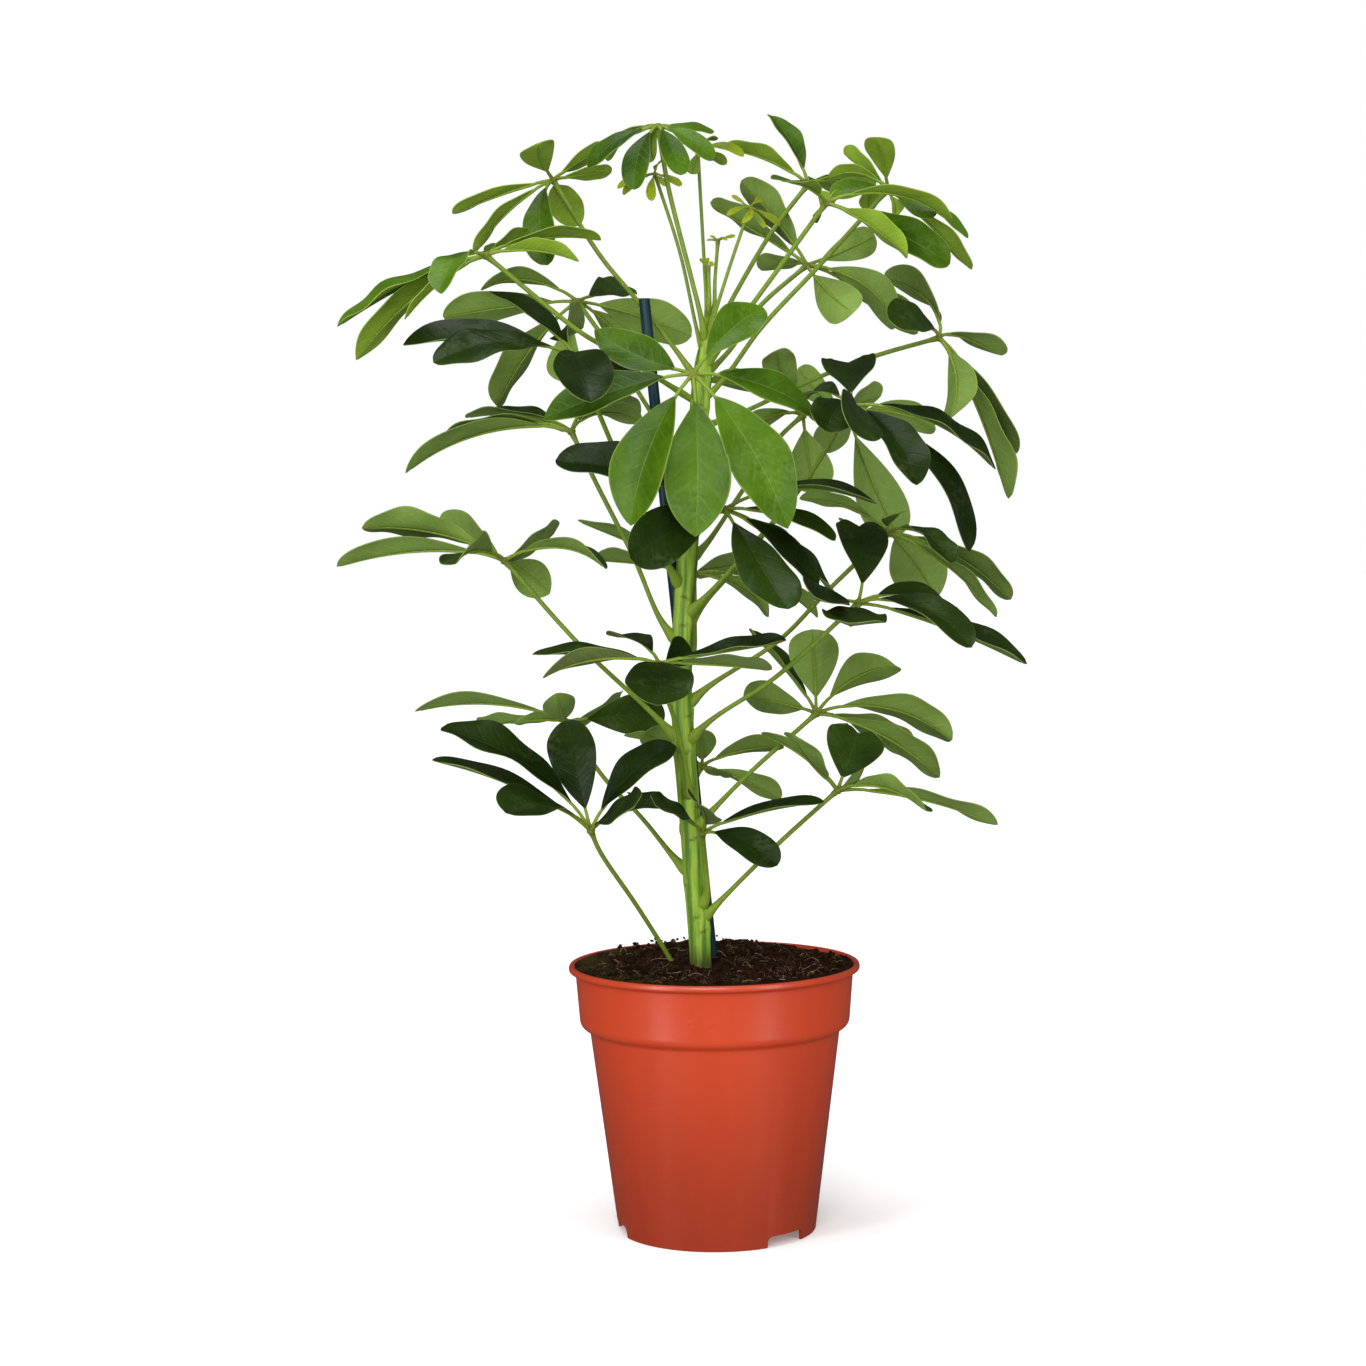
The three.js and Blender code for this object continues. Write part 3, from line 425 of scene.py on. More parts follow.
            (-97.5, 324, -9.4, 0.5, 0.13, 0), (-31.5, 307, 37.2, 0.9, 0.12, -0.01),
            (44, 344, 6.4, 0.1, 0.03, 0), (-14, 344, 17.3, -0.45, -0.02, 0.08),
            (35.5, 327, -6, -0.3, 0.05, -0.02),
        ],
    },
    "low_front": {
        "finish": "dark", "reach": 74,
        "petiole": [
            (-9.2, 186, 0), (-4, 196, 8), (-4.5, 214, 17), (-6, 232, 30),
        ],
        "leaflets": [
            (65, 249.5, 6, 0.1, 0.08, 0.01), (37.5, 212.5, 16.7, 0.7, 0.13, -0.02),
            (-10, 250.5, -13.8, 0.85, 0.08, -0.02), (-48, 256, 7, -0.6, 0.1, 0),
            (-33, 248.5, 5.2, 0.8, 0.05, 0.04),
        ],
    },
    "low_back": {
        "finish": "light", "reach": 62,
        "petiole": [
            (-12.8, 228, 0), (-17, 236, -11), (-15, 250, -30), (-6, 271, -54),
        ],
        "leaflets": [
            (42, 282, -10.3, 0.2, 0.1, 0.02), (40, 251.5, -11.7, -0.3, 0.06, 0.02),
            (9.5, 268, -3, 0.6, -0.06, -0.02), (-6.5, 292.5, -17.3, 0.6, 0, -0.02),
            (-40, 290, -15.8, 0.5, 0.11, -0.02), (-51, 289.5, -3, -0.1, 0.1, 0),
        ],
    },
    "mid_back": {
        "finish": "light", "reach": 82,
        "petiole": [
            (-16.8, 330, 0), (-10.5, 338, -11), (-9, 358, -32), (-9, 383, -52),
        ],
        "leaflets": [
            (-76, 415, -4.2, 0.2, 0.05, 0.02), (-64, 392, -5.8, -0.6, 0.04, -0.04),
            (21, 390, -12.3, -0.8, 0.08, -0.09), (62.5, 357, -8, 0.2, 0.16, 0),
            (34, 359, -11.5, 0.3, 0.18, -0.02),
        ],
    },
}

# A blade's least width over its length, for leaves that give no shape of their own.
PLAIN_SHAPE = 0.36
# A leaf whose leaflets reach less than this is still opening, with slimmer stalks.
YOUNG_REACH = 35
# The share of a leaflet that is bare stalk.
STALK_SHARE = 0.17
# Blades wider than this are folded along their midrib.
FOLDED_FROM = 18
# The pot's foot ring and the notches in it, whose bearings and span are in degrees.
FOOT_RADIUS = 57.9
NOTCH_BEARINGS = (43, 163, 283)
NOTCH_SPAN = 27
NOTCH_HEIGHT = 6.6
NOTCH_CORNER = 3
DRAIN_HOLES = 4
DRAIN_CIRCLE = 36
DRAIN_RADIUS = 4.5
# The side of the soil as (radius, height, corner radius), from its middle below to its edge.
SOIL_WALL = [
    (0, FLOOR_TOP + 0.3, 0), (57.4, FLOOR_TOP + 0.3, 0), (71.4, 119.2, 0), (76.7, 124.2, 0),
    (79.4, SOIL_LEVEL - 1.3, 0),
]
SOIL_REACH = 81
# Outside this radius the soil stays under the pot's lip.
LEVELLED_FROM = 70
# Rings across the soil's top, and steps round the pot and the soil.
SOIL_RINGS = 44
SPIN_STEPS = 144
# How far from the axis crumbs and fibres are scattered, and how far out a fibre may reach.
CRUMB_REACH = 76
FIBRE_REACH = 74
FIBRE_LIMIT = 76.5
# How far from the stem's middle they keep.
CRUMB_GAP = 8
FIBRE_GAP = 12
# The pot's wall as (radius, height, corner radius), from the pad under it round to its floor.
POT_PROFILE = [
    (0, 0, 0), (15, 0, 0.6), (16, 7, 1), (56.1, 7, 0.8), (56.1, 0, 0.5), (FOOT_RADIUS, 0, 0.5),
    (73.1, 117.8, 1.2), (77.6, 120.2, 1.4), (78.8, 122.8, 1.2), (81.1, 151.4, 0.8), (85, 152.6, 1.0),
    (85, 155, 0.9), (84.2, POT_HEIGHT, 0.4), (82, POT_HEIGHT, 0.8), (79.9, 150.6, 1.5),
    (77.2, 124, 1.5), (71.8, 119, 1.5), (FOOT_RADIUS, FLOOR_TOP, 1.4), (0, FLOOR_TOP, 0),
]


# ---------------------------------------------------------------- sizes and colours a user may change
def linear(figures):
    """The linear red, green and blue of a colour written as six hexadecimal figures."""
    values = [int(figures[i:i + 2], 16) / 255 for i in (0, 2, 4)]
    return tuple(v / 12.92 if v <= 0.04045 else ((v + 0.055) / 1.055) ** 2.4 for v in values)


def tint(label, figures, about):
    return bpy.props.FloatVectorProperty(
        name=label, description=about, default=linear(figures), subtype="COLOR", size=3, min=0, max=1)


def measure(label, value, about):
    return bpy.props.FloatProperty(
        name=label, description=about, default=value * METRES, min=0, max=1,
        subtype="DISTANCE", unit="LENGTH", precision=5)


def amount(label, value, about):
    return bpy.props.IntProperty(name=label, description=about, default=value, min=0, max=5000)


class PlantSizes(bpy.types.PropertyGroup):
    blade: measure("Blade thickness", 0.5, "Thickness of a leaflet's blade")
    petiole: measure("Petiole radius", 1.35, "Radius of a leaf's petiole along its middle")
    petiole_base: measure("Petiole base radius", 3.2, "Radius of a petiole where it leaves the stem")
    stake: measure("Stake radius", 3.25, "Radius of the stake")
    crumbs: amount("Crumbs", 620, "Number of crumbs on the soil")
    fibres: amount("Fibres", 420, "Number of straw fibres on the soil")


class PlantColours(bpy.types.PropertyGroup):
    pot: tint("Pot", "b43916", "Moulded plastic of the pot")
    soil_damp: tint("Damp soil", "120a06", "Damp parts of the soil")
    soil_dry: tint("Dry soil", "3e2616", "Dry crumbs of the soil")
    fibre: tint("Fibre", "9a8058", "Straw fibres on the soil")
    moss: tint("Moss", "4f4a22", "Moss at the edge of the soil")
    stem: tint("Stem", "95b53b", "Skin of the stem")
    stem_streak: tint("Stem streaks", "4c761c", "Darker streaks and ridges of the stem")
    scar: tint("Scars", "5b4a22", "Scars and dry scales at the stem's nodes")
    stake: tint("Stake", "0f3038", "Plastic coat of the stake")
    # Each leaf tone has an upper side and an underside; the undersides are paler and partly painted light
    # that shines through the blades.
    dark_upper: tint("Dark leaf, upper side", "182d05", "Upper side of the oldest leaves")
    dark_under: tint("Dark leaf, underside", "6a7b43", "Underside of the oldest leaves")
    green_upper: tint("Green leaf, upper side", "395e0a", "Upper side of full-grown leaves")
    green_under: tint("Green leaf, underside", "81a02e", "Underside of full-grown leaves")
    light_upper: tint("Light leaf, upper side", "253f0e", "Upper side of the light leaves")
    light_under: tint("Light leaf, underside", "759141", "Underside of the light leaves")
    young_upper: tint("Young leaf, upper side", "728a12", "Upper side of leaves still opening")
    young_under: tint("Young leaf, underside", "6f8c28", "Underside of leaves still opening")
    # The vein colour also draws the margin line, which is partly a painted highlight.
    vein: tint("Veins", "9ab452", "Midribs, side veins and margins of the blades")
    petiole: tint("Petiole", "6b8c2e", "Petioles and leaflet stalks")


# ---------------------------------------------------------------- curves
# How far to each side of a place on a line its heading is read.
HEADING_REACH = 0.6


def sight(point):
    """Where a point written (across, up, near) is in space."""
    across, up, near = point
    return Vector((across, 0.0, up)).lerp(EYE, near / -EYE.y)


def smoothly(value, low, high):
    """0 at low, 1 at high and smooth between them."""
    share = min(1.0, max(0.0, (value - low) / (high - low)))
    return share * share * (3 - 2 * share)


def hump(value, centre, spread):
    """1 at the centre, falling away on both sides over about spread."""
    return math.exp(-((value - centre) / spread) ** 2)


def through(points, steps=16):
    """A smooth centripetal Catmull-Rom line through points."""
    ends = [points[0] * 2 - points[1], *points, points[-1] * 2 - points[-2]]
    line = []
    for before, start, end, after in zip(ends, ends[1:], ends[2:], ends[3:]):
        first, gap, last = (
            max((b - a).length ** 0.5, 1e-4) for a, b in ((before, start), (start, end), (end, after)))
        leave = (start - before) / first - (end - before) / (first + gap) + (end - start) / gap
        arrive = (end - start) / gap - (after - start) / (gap + last) + (after - end) / last
        for k in range(steps):
            t = k / steps
            square = (end - start) * 3 - leave * gap * 2 - arrive * gap
            cube = (start - end) * 2 + leave * gap + arrive * gap
            line.append(start + leave * gap * t + square * t ** 2 + cube * t ** 3)
    return [*line, points[-1]]


class Line:
    """A curve that is read by the share of its length."""

    def __init__(self, points):
        self.points = np.array([tuple(point) for point in points])
        steps = np.linalg.norm(np.diff(self.points, axis=0), axis=1)
        self.marks = np.concatenate([[0.0], np.cumsum(steps)])
        self.length = float(self.marks[-1])

    def at(self, share):
        where = share * self.length
        return Vector([float(np.interp(where, self.marks, self.points[:, k])) for k in range(3)])

    def heading(self, share):
        reach = HEADING_REACH / self.length
        return (self.at(min(1, share + reach)) - self.at(max(0, share - reach))).normalized()


class Leaflet:
    """Where one leaflet lies: its midrib, which way its blade faces and how wide it is."""

    def __init__(self, hub, row, reach, shape, leaf_up):
        across, up, seen, lean, bow, sway = row
        flat = sight((across, up, -hub.y))
        depth = lean * math.sqrt(max(0.0, reach ** 2 - (flat - hub).length_squared))
        tip = sight((across, up, -hub.y + depth))
        self.length = (tip - hub).length
        self.width = max(abs(seen), shape * self.length)
        along = (tip - hub).normalized()
        normal = self.facing(along, tip.lerp(hub, 0.4), seen / self.width, leaf_up)
        self.side = along.cross(normal).normalized()
        # The middle of the midrib moves three quarters as far as its two handles do.
        arch = (normal * bow + self.side * sway) * self.length * 1.33
        self.bends = (hub, hub + along * self.length * 0.32 + arch,
                      hub + along * self.length * 0.74 + arch, tip)

    @staticmethod
    def facing(along, middle, share, leaf_up):
        """The way the blade faces when share of its width is seen by the viewer."""
        view = (EYE - middle).normalized()
        view = (view - along * view.dot(along)).normalized()
        across = along.cross(view)
        turn = -1 if across.dot(leaf_up) < 0 else 1
        lift = math.sqrt(max(0.0, 1 - share * share))
        return (view * share + across * turn * lift).normalized()

    def frame(self, t):
        """The midrib's point at t, the way across the blade and the way its upper face looks."""
        start, first, second, end = self.bends
        rest = 1 - t
        point = start * rest ** 3 + first * 3 * t * rest ** 2 + second * 3 * t * t * rest + end * t ** 3
        heading = ((first - start) * rest ** 2 + (second - first) * 2 * t * rest
                   + (end - second) * t ** 2).normalized()
        return point, heading, self.side.cross(heading).normalized()


# ---------------------------------------------------------------- meshes
def sheet(bm, across, along, place, marks=None):
    """Adds a grid whose points go to place(side, share): side from -1 to 1, share from 0 to 1."""
    made = bmesh.ops.create_grid(bm, x_segments=across, y_segments=along, size=1, calc_uvs=True)
    for vert in made["verts"]:
        side, share = vert.co.x, (vert.co.y + 1) / 2
        vert.co = place(side, share)
        for layer, value in (marks or {}).items():
            vert[layer] = value(side, share) if callable(value) else value
    return made["verts"]


def rod(bm, line, radius, sides, rings, marks=None, shift=None):
    """Adds a round closed rod along a line, of radius(share, turn) millimetres."""
    rows = rings + 2
    stations = [min(1.0, max(0.0, (row - 1) / rings)) for row in range(rows + 1)]
    spots = []
    for station in stations:
        heading = line.heading(station)
        out = ROD_LEAD.cross(heading).normalized()
        spot = line.at(station)
        if shift:
            spot = spot + shift(station)
        spots.append((spot, out, out.cross(heading).normalized()))

    def place(side, share):
        row = round(share * rows)
        spot, out, front = spots[row]
        turn = math.pi * side
        reach = 0.0 if row in (0, rows) else radius(stations[row], turn)
        return spot + (out * math.cos(turn) + front * math.sin(turn)) * reach

    def reading(value):
        if callable(value):
            return lambda side, share: value(stations[round(share * rows)], math.pi * side)
        return value

    read = {layer: reading(value) for layer, value in (marks or {}).items()}
    return close(bm, sheet(bm, sides, rows, place, read))


def close(bm, verts):
    """Joins the points of a rolled or spun shape that lie together, and turns its faces outwards."""
    bmesh.ops.remove_doubles(bm, verts=verts, dist=WELD)
    left = [vert for vert in verts if vert.is_valid]
    bmesh.ops.recalc_face_normals(bm, faces=faces_of(left))
    return left


def faces_of(verts):
    """The faces that touch some points, each of them once."""
    return list(dict.fromkeys(face for vert in verts for face in vert.link_faces))


def piece(bm, name, materials, nodes):
    """Makes a finished mesh into a piece, in metres, that stands for CAD nodes."""
    for face in bm.faces:
        face.smooth = True
    for edge in bm.edges:
        edge.smooth = not (edge.is_manifold and edge.calc_face_angle(0) > SHARP_ANGLE)
    bmesh.ops.scale(bm, vec=(METRES,) * 3, verts=bm.verts)
    mesh = bpy.data.meshes.new(name)
    bm.to_mesh(mesh)
    bm.free()
    made = bpy.data.objects.new(name, mesh)
    bpy.context.scene.collection.objects.link(made)
    for material in materials:
        mesh.materials.append(material)
    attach(made, "root")
    if nodes:
        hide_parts(*nodes)


# ---------------------------------------------------------------- finishes
class Signal:
    """A node's output. Arithmetic on it adds the Math nodes that work it out."""

    def __init__(self, finish, socket):
        self.finish = finish
        self.socket = socket

    def math(self, operation, *values):
        sockets = dict(enumerate(values))
        return self.finish.node("ShaderNodeMath", {"operation": operation}, sockets)

    def __add__(self, other):
        return self.math("ADD", self, other)

    def __sub__(self, other):
        return self.math("SUBTRACT", self, other)

    def __rsub__(self, other):
        return self.math("SUBTRACT", other, self)

    def __mul__(self, other):
        return self.math("MULTIPLY", self, other)

    def __pow__(self, other):
        return self.math("POWER", self, other)

    def __abs__(self):
        return self.math("ABSOLUTE", self)

    __radd__ = __add__
    __rmul__ = __mul__

    def fraction(self):
        return self.math("FRACT", self)

    def between(self, low, high):
        """0 below low, 1 above high and smooth between them; low may be above high."""
        return self.finish.node(
            "ShaderNodeMapRange", {"interpolation_type": "SMOOTHSTEP"},
            {"Value": self, "From Min": low, "From Max": high})


class Finish:
    """A material and the nodes that colour it."""

    def __init__(self, name, owner=None):
        self.material = owner or bpy.data.materials.new(name)
        self.material.use_nodes = True
        self.tree = self.material.node_tree
        self.tree.nodes.clear()

    def node(self, kind, settings=None, sockets=None, output=0):
        made = self.tree.nodes.new(kind)
        for name, value in (settings or {}).items():
            setattr(made, name, value)
        for name, value in (sockets or {}).items():
            socket = made.inputs[name]
            if isinstance(value, Signal):
                self.tree.links.new(value.socket, socket)
            else:
                socket.default_value = value
        return Signal(self, made.outputs[output]) if made.outputs else None

    def mark(self, name):
        """A value that the mesh carries for each of its points."""
        return self.node("ShaderNodeAttribute", {"attribute_name": name}, output="Fac")

    def place(self):
        """Where a point is on its own piece, in metres."""
        return self.node("ShaderNodeTexCoord", output="Object")

    def axis(self, vector, name):
        return self.node("ShaderNodeSeparateXYZ", sockets={"Vector": vector}, output=name)

    def stretched(self, vector, scale):
        return self.node("ShaderNodeMapping", sockets={"Vector": vector, "Scale": scale})

    def clouds(self, scale, detail=3.0, vector=None):
        """Soft noise from 0 to 1; scale is in cells to the metre on the object's own coordinates."""
        return self.node("ShaderNodeTexNoise", sockets={
            "Vector": vector or self.place(), "Scale": scale, "Detail": detail})

    def specks(self, scale, vector=None):
        """The distance to the nearest of many scattered points, in cells."""
        return self.node("ShaderNodeTexVoronoi",
                         sockets={"Vector": vector or self.place(), "Scale": scale}, output="Distance")

    def blend(self, share, first, second):
        """A colour between two: the first where share is 0, the second where it is 1."""
        colours = [value if isinstance(value, Signal) else (*value[:3], 1.0) for value in (first, second)]
        return self.node("ShaderNodeMix", {"data_type": "RGBA"},
                         {0: share, 6: colours[0], 7: colours[1]}, output=2)

    def bump(self, height, strength, distance):
        return self.node("ShaderNodeBump",
                         sockets={"Height": height, "Strength": strength, "Distance": distance},
                         output="Normal")

    def surface(self, **sockets):
        """Ends the material in one Principled surface, given its sockets with _ for spaces."""
        named = {name.replace("_", " "): value for name, value in sockets.items()}
        shader = self.node("ShaderNodeBsdfPrincipled", sockets=named, output="BSDF")
        self.node("ShaderNodeOutputMaterial", sockets={"Surface": shader})
        return self.material


def deeper(colour, share):
    """A colour times share, held within 0 to 1."""
    return tuple(min(1.0, value * share) for value in colour)


def warmer(colour, share):
    """A colour times share, leaning to yellow."""
    red, green, blue = deeper(colour, share)
    return (min(1.0, red * 1.25), green, blue * 0.8)


def blade_finish(name, upper, under, vein, midrib_share, dusty):
    """Upper side, underside, veins and margin of a blade, with painted shade, sheen and highlights
    and painted light through its underside; the marks say where on it a point is.
    """
    finish = Finish(name)
    across, along = finish.mark("across"), finish.mark("along")
    beneath, shade = finish.mark("under"), finish.mark("shade")
    out = abs(across)
    midrib = out.between(0.045, 0.012) * along.between(1.0, 0.5)
    lanes = (along * 9 - out * 1.4 + shade * 3 + finish.clouds(60, 2) * 0.8).fraction()
    side_veins = abs(lanes - 0.5).between(0.16, 0.02) * out.between(0.97, 0.5)
    margin = out.between(0.945, 0.985)
    patches = finish.clouds(36, 2)
    pillows = finish.clouds(60, 0)
    grain = finish.clouds(900, 2)
    mottle = finish.clouds(380, 3)
    # Painted shade: the tone is darker near each blade's base and lighter towards its end; the rest of it
    # differs at random.
    tone = patches * 1.3 + mottle * 0.4 + shade * 0.5 + grain * 0.15 + along * 0.3 - 0.93
    face = finish.blend(tone, deeper(upper, 0.5), warmer(upper, 1.65))
    # Painted sheen: whitish patches on the upper side.
    painted_sheen = finish.clouds(38, 3).between(0.5, 0.75) * mottle.between(0.35, 0.65)
    face = finish.blend(painted_sheen * 0.06, face, linear("b4c48e"))
    # The pale margin line is the blade's margin and partly a painted highlight along its edge.
    face = finish.blend(side_veins * midrib_share * 0.2 + margin * (midrib_share * 1.8 + 0.015), face, vein)
    face = finish.blend(midrib * midrib_share, face, vein)
    if dusty:
        dust = finish.specks(420).between(0.1, 0.04) * patches.between(0.5, 0.66)
        face = finish.blend(dust * 0.35, face, linear("a9b398"))
    # The underside is paler and partly painted light that shines through the blade.
    back = finish.blend(tone, deeper(under, 0.82), deeper(under, 1.18))
    # The underside's margin line too is partly a painted highlight.
    back = finish.blend(side_veins * 0.08 + midrib * 0.4 + margin * 0.3, back, deeper(vein, 1.2))
    colour = finish.blend(beneath, face, back)
    relief = pillows * 2.6 + mottle * 0.25 - midrib * 0.5 - side_veins * 0.12
    return finish.surface(
        Base_Color=colour, Roughness=grain * 0.06 + patches * 0.14 + beneath * 0.24 + 0.26,
        Normal=finish.bump(relief, 0.5, 0.0016), Specular_IOR_Level=0.16)


# The dark brown laid on the inside of the pot's wall near the soil, and the stain that wet peat
# leaves on the foot of the stem.
PEAT_BROWN = linear("2c2015")


def stalk_finish(skin, dry):
    finish = Finish("petiole_skin")
    joint, shade = finish.mark("joint"), finish.mark("shade")
    streaks = finish.clouds(1, 3, finish.stretched(finish.place(), (900, 900, 160)))
    patches = finish.clouds(120, 2)
    tone = streaks * 0.7 + patches * 0.3 + shade * 0.5 - 0.3
    colour = finish.blend(tone, deeper(skin, 0.6), warmer(skin, 1.45))
    colour = finish.blend(joint * (patches * 0.6 + 0.35), colour, dry)
    return finish.surface(
        Base_Color=colour, Roughness=streaks * 0.15 + joint * 0.2 + 0.36,
        Normal=finish.bump(streaks, 0.35, 0.0004), Specular_IOR_Level=0.2)


def inner_wall_darkening(finish, place, height):
    """How much the pot's wall is darkened: only on its inside, most at the soil and least at the lip."""
    across, back = (finish.axis(place, name) for name in "XY")
    reach = (across * across + back * back) ** 0.5
    inside = (reach - height * 0.09).between(0.067, 0.0665) * height.between(0.12, 0.124)
    near = height.between(0.1572, 0.1525)
    return inside * near * (finish.clouds(180, 4).between(0.3, 0.6) * 0.6 + 0.4)


def pot_finish(skin):
    finish = Finish("pot_plastic")
    place = finish.place()
    ripple = finish.clouds(1, 2, finish.stretched(place, (40, 40, 6)))
    grain = finish.clouds(1500, 2)
    scuffs = finish.clouds(1, 4, finish.stretched(place, (160, 160, 1400)))
    worn = scuffs.between(0.62, 0.72) * finish.clouds(30, 2).between(0.5, 0.65)
    height = finish.axis(place, "Z")
    # Painted shade: the pot is darker towards its foot and lighter towards its top, and its lip is made
    # darker.
    lip = height.between(0.148, 0.153)
    tone = ripple * 0.35 + grain * 0.1 + height.between(-0.01, 0.15) * 0.75 - 0.12 - lip * 0.18
    colour = finish.blend(tone, deeper(skin, 0.6), deeper(skin, 1.22))
    colour = finish.blend(inner_wall_darkening(finish, place, height), colour, PEAT_BROWN)
    colour = finish.blend(worn * 0.05, colour, linear("c98a6a"))
    return finish.surface(
        Base_Color=colour, Roughness=grain * 0.1 + ripple * 0.1 + worn * 0.1 + 0.22,
        Normal=finish.bump(grain * 0.3 + ripple + worn * -0.2, 0.25, 0.0006),
        Specular_IOR_Level=0.7)


def soil_finish(damp, dry, moss):
    finish = Finish("peat")
    place = finish.place()
    lumps, fine = finish.clouds(260, 5), finish.clouds(1400, 4)
    tone = lumps.between(0.35, 0.7) * 0.55 + fine.between(0.4, 0.75) * 0.55
    colour = finish.blend(tone, damp, dry)
    bits = finish.specks(900, place).between(0.25, 0.1) * fine.between(0.5, 0.6)
    colour = finish.blend(bits * 0.5, colour, linear("8f7148"))
    colour = finish.blend(finish.mark("moss") * fine.between(0.35, 0.6) * 0.8, colour, moss)
    return finish.surface(
        Base_Color=colour, Roughness=0.95 - lumps * 0.15,
        Normal=finish.bump(lumps + fine * 0.7, 0.9, 0.002), Specular_IOR_Level=0.05)


def fibre_finish(straw, dry):
    finish = Finish("straw")
    shade = finish.mark("shade")
    grain = finish.clouds(700, 3)
    colour = finish.blend(shade * shade * 0.9 + grain * 0.2, deeper(dry, 1.2), deeper(straw, 1.3))
    return finish.surface(
        Base_Color=colour, Roughness=0.75 + grain * 0.15, Normal=finish.bump(grain, 0.4, 0.0005))


def stem_finish(skin, streak, scar):
    finish = Finish("stem_skin")
    place = finish.place()
    ridged, scarred = finish.mark("ridge"), finish.mark("scar")
    streaks = finish.clouds(1, 4, finish.stretched(place, (620, 620, 30)))
    flecks = finish.clouds(1, 3, finish.stretched(place, (1500, 1500, 260)))
    pores = finish.specks(380).between(0.14, 0.07)
    tone = streaks.between(0.35, 0.65) * 0.6 + ridged.between(0.15, 0.9) * 0.6 - 0.1
    colour = finish.blend(tone, streak, skin)
    colour = finish.blend(flecks.between(0.6, 0.72) * 0.35, colour, deeper(skin, 1.5))
    colour = finish.blend(pores * 0.5, colour, deeper(scar, 1.6))
    colour = finish.blend(scarred * (flecks * 0.7 + 0.45), colour, scar)
    soiled = finish.axis(place, "Z").between(0.17, 0.155) * (flecks * 0.8 + 0.35)
    colour = finish.blend(soiled, colour, PEAT_BROWN)
    return finish.surface(
        Base_Color=colour, Roughness=streaks * 0.2 + scarred * 0.3 + 0.32,
        Normal=finish.bump(streaks + flecks * 0.4 - pores * 0.4 - scarred * 0.6, 0.5, 0.0008),
        Specular_IOR_Level=0.25)


def stake_finish(coat):
    finish = Finish("stake_coat")
    place = finish.place()
    mottle, grain = finish.clouds(220, 3), finish.clouds(1600, 2)
    rubbed = finish.clouds(1, 4, finish.stretched(place, (700, 700, 90))).between(0.6, 0.75)
    colour = finish.blend(mottle * 0.6 + grain * 0.3, deeper(coat, 0.65), deeper(coat, 1.5))
    colour = finish.blend(rubbed * 0.35, colour, deeper(coat, 3.2))
    return finish.surface(
        Base_Color=colour, Roughness=mottle * 0.15 + rubbed * 0.15 + 0.28,
        Normal=finish.bump(mottle * 0.5 + grain * 0.5, 0.25, 0.0005), Specular_IOR_Level=0.25)


def floor_finish():
    finish = Finish("pale_floor")
    haze = finish.clouds(3, 2)
    colour = finish.blend(haze, (0.93, 0.93, 0.93), (0.95, 0.95, 0.95))
    return finish.surface(
        Base_Color=colour, Roughness=0.8, Specular_IOR_Level=0.1, Emission_Color=(1, 1, 1, 1),
        Emission_Strength=0.15)


# ---------------------------------------------------------------- the pot
def cut(body, cutters):
    """Takes the cutters' shapes out of a piece and keeps the result as its mesh."""
    for cutter in cutters:
        modifier = body.modifiers.new("cut", "BOOLEAN")
        modifier.object = cutter
        modifier.operation = "DIFFERENCE"
        modifier.solver = "EXACT"
    evaluated = body.evaluated_get(bpy.context.evaluated_depsgraph_get())
    whole = bpy.data.meshes.new_from_object(evaluated)
    body.modifiers.clear()
    for cutter in cutters:
        bpy.data.meshes.remove(cutter.data)
    spent = body.data
    body.data = whole
    bpy.data.meshes.remove(spent)


def loose(bm, name):
    """Makes a mesh, still in millimetres, into an object that only serves to shape another."""
    mesh = bpy.data.meshes.new(name)
    bm.to_mesh(mesh)
    bm.free()
    made = bpy.data.objects.new(name, mesh)
    bpy.context.scene.collection.objects.link(made)
    return made


def spun(bm, profile, steps):
    """Spins a wall drawn as (radius, height, corner radius) once round the upright axis."""
    verts = [bm.verts.new((radius, 0, height)) for radius, height, _ in profile]
    for first, second in zip(verts, verts[1:]):
        bm.edges.new((first, second))
    for vert, (_, _, corner) in list(zip(verts, profile)):
        if corner:
            bmesh.ops.bevel(bm, geom=[vert], offset=corner, affect="VERTICES", segments=4,
                            profile=0.5, material=-1)
    bmesh.ops.spin(bm, geom=bm.verts[:] + bm.edges[:], cent=(0, 0, 0), axis=(0, 0, 1),
                   angle=math.tau, steps=steps, use_merge=True)
    return close(bm, bm.verts[:])


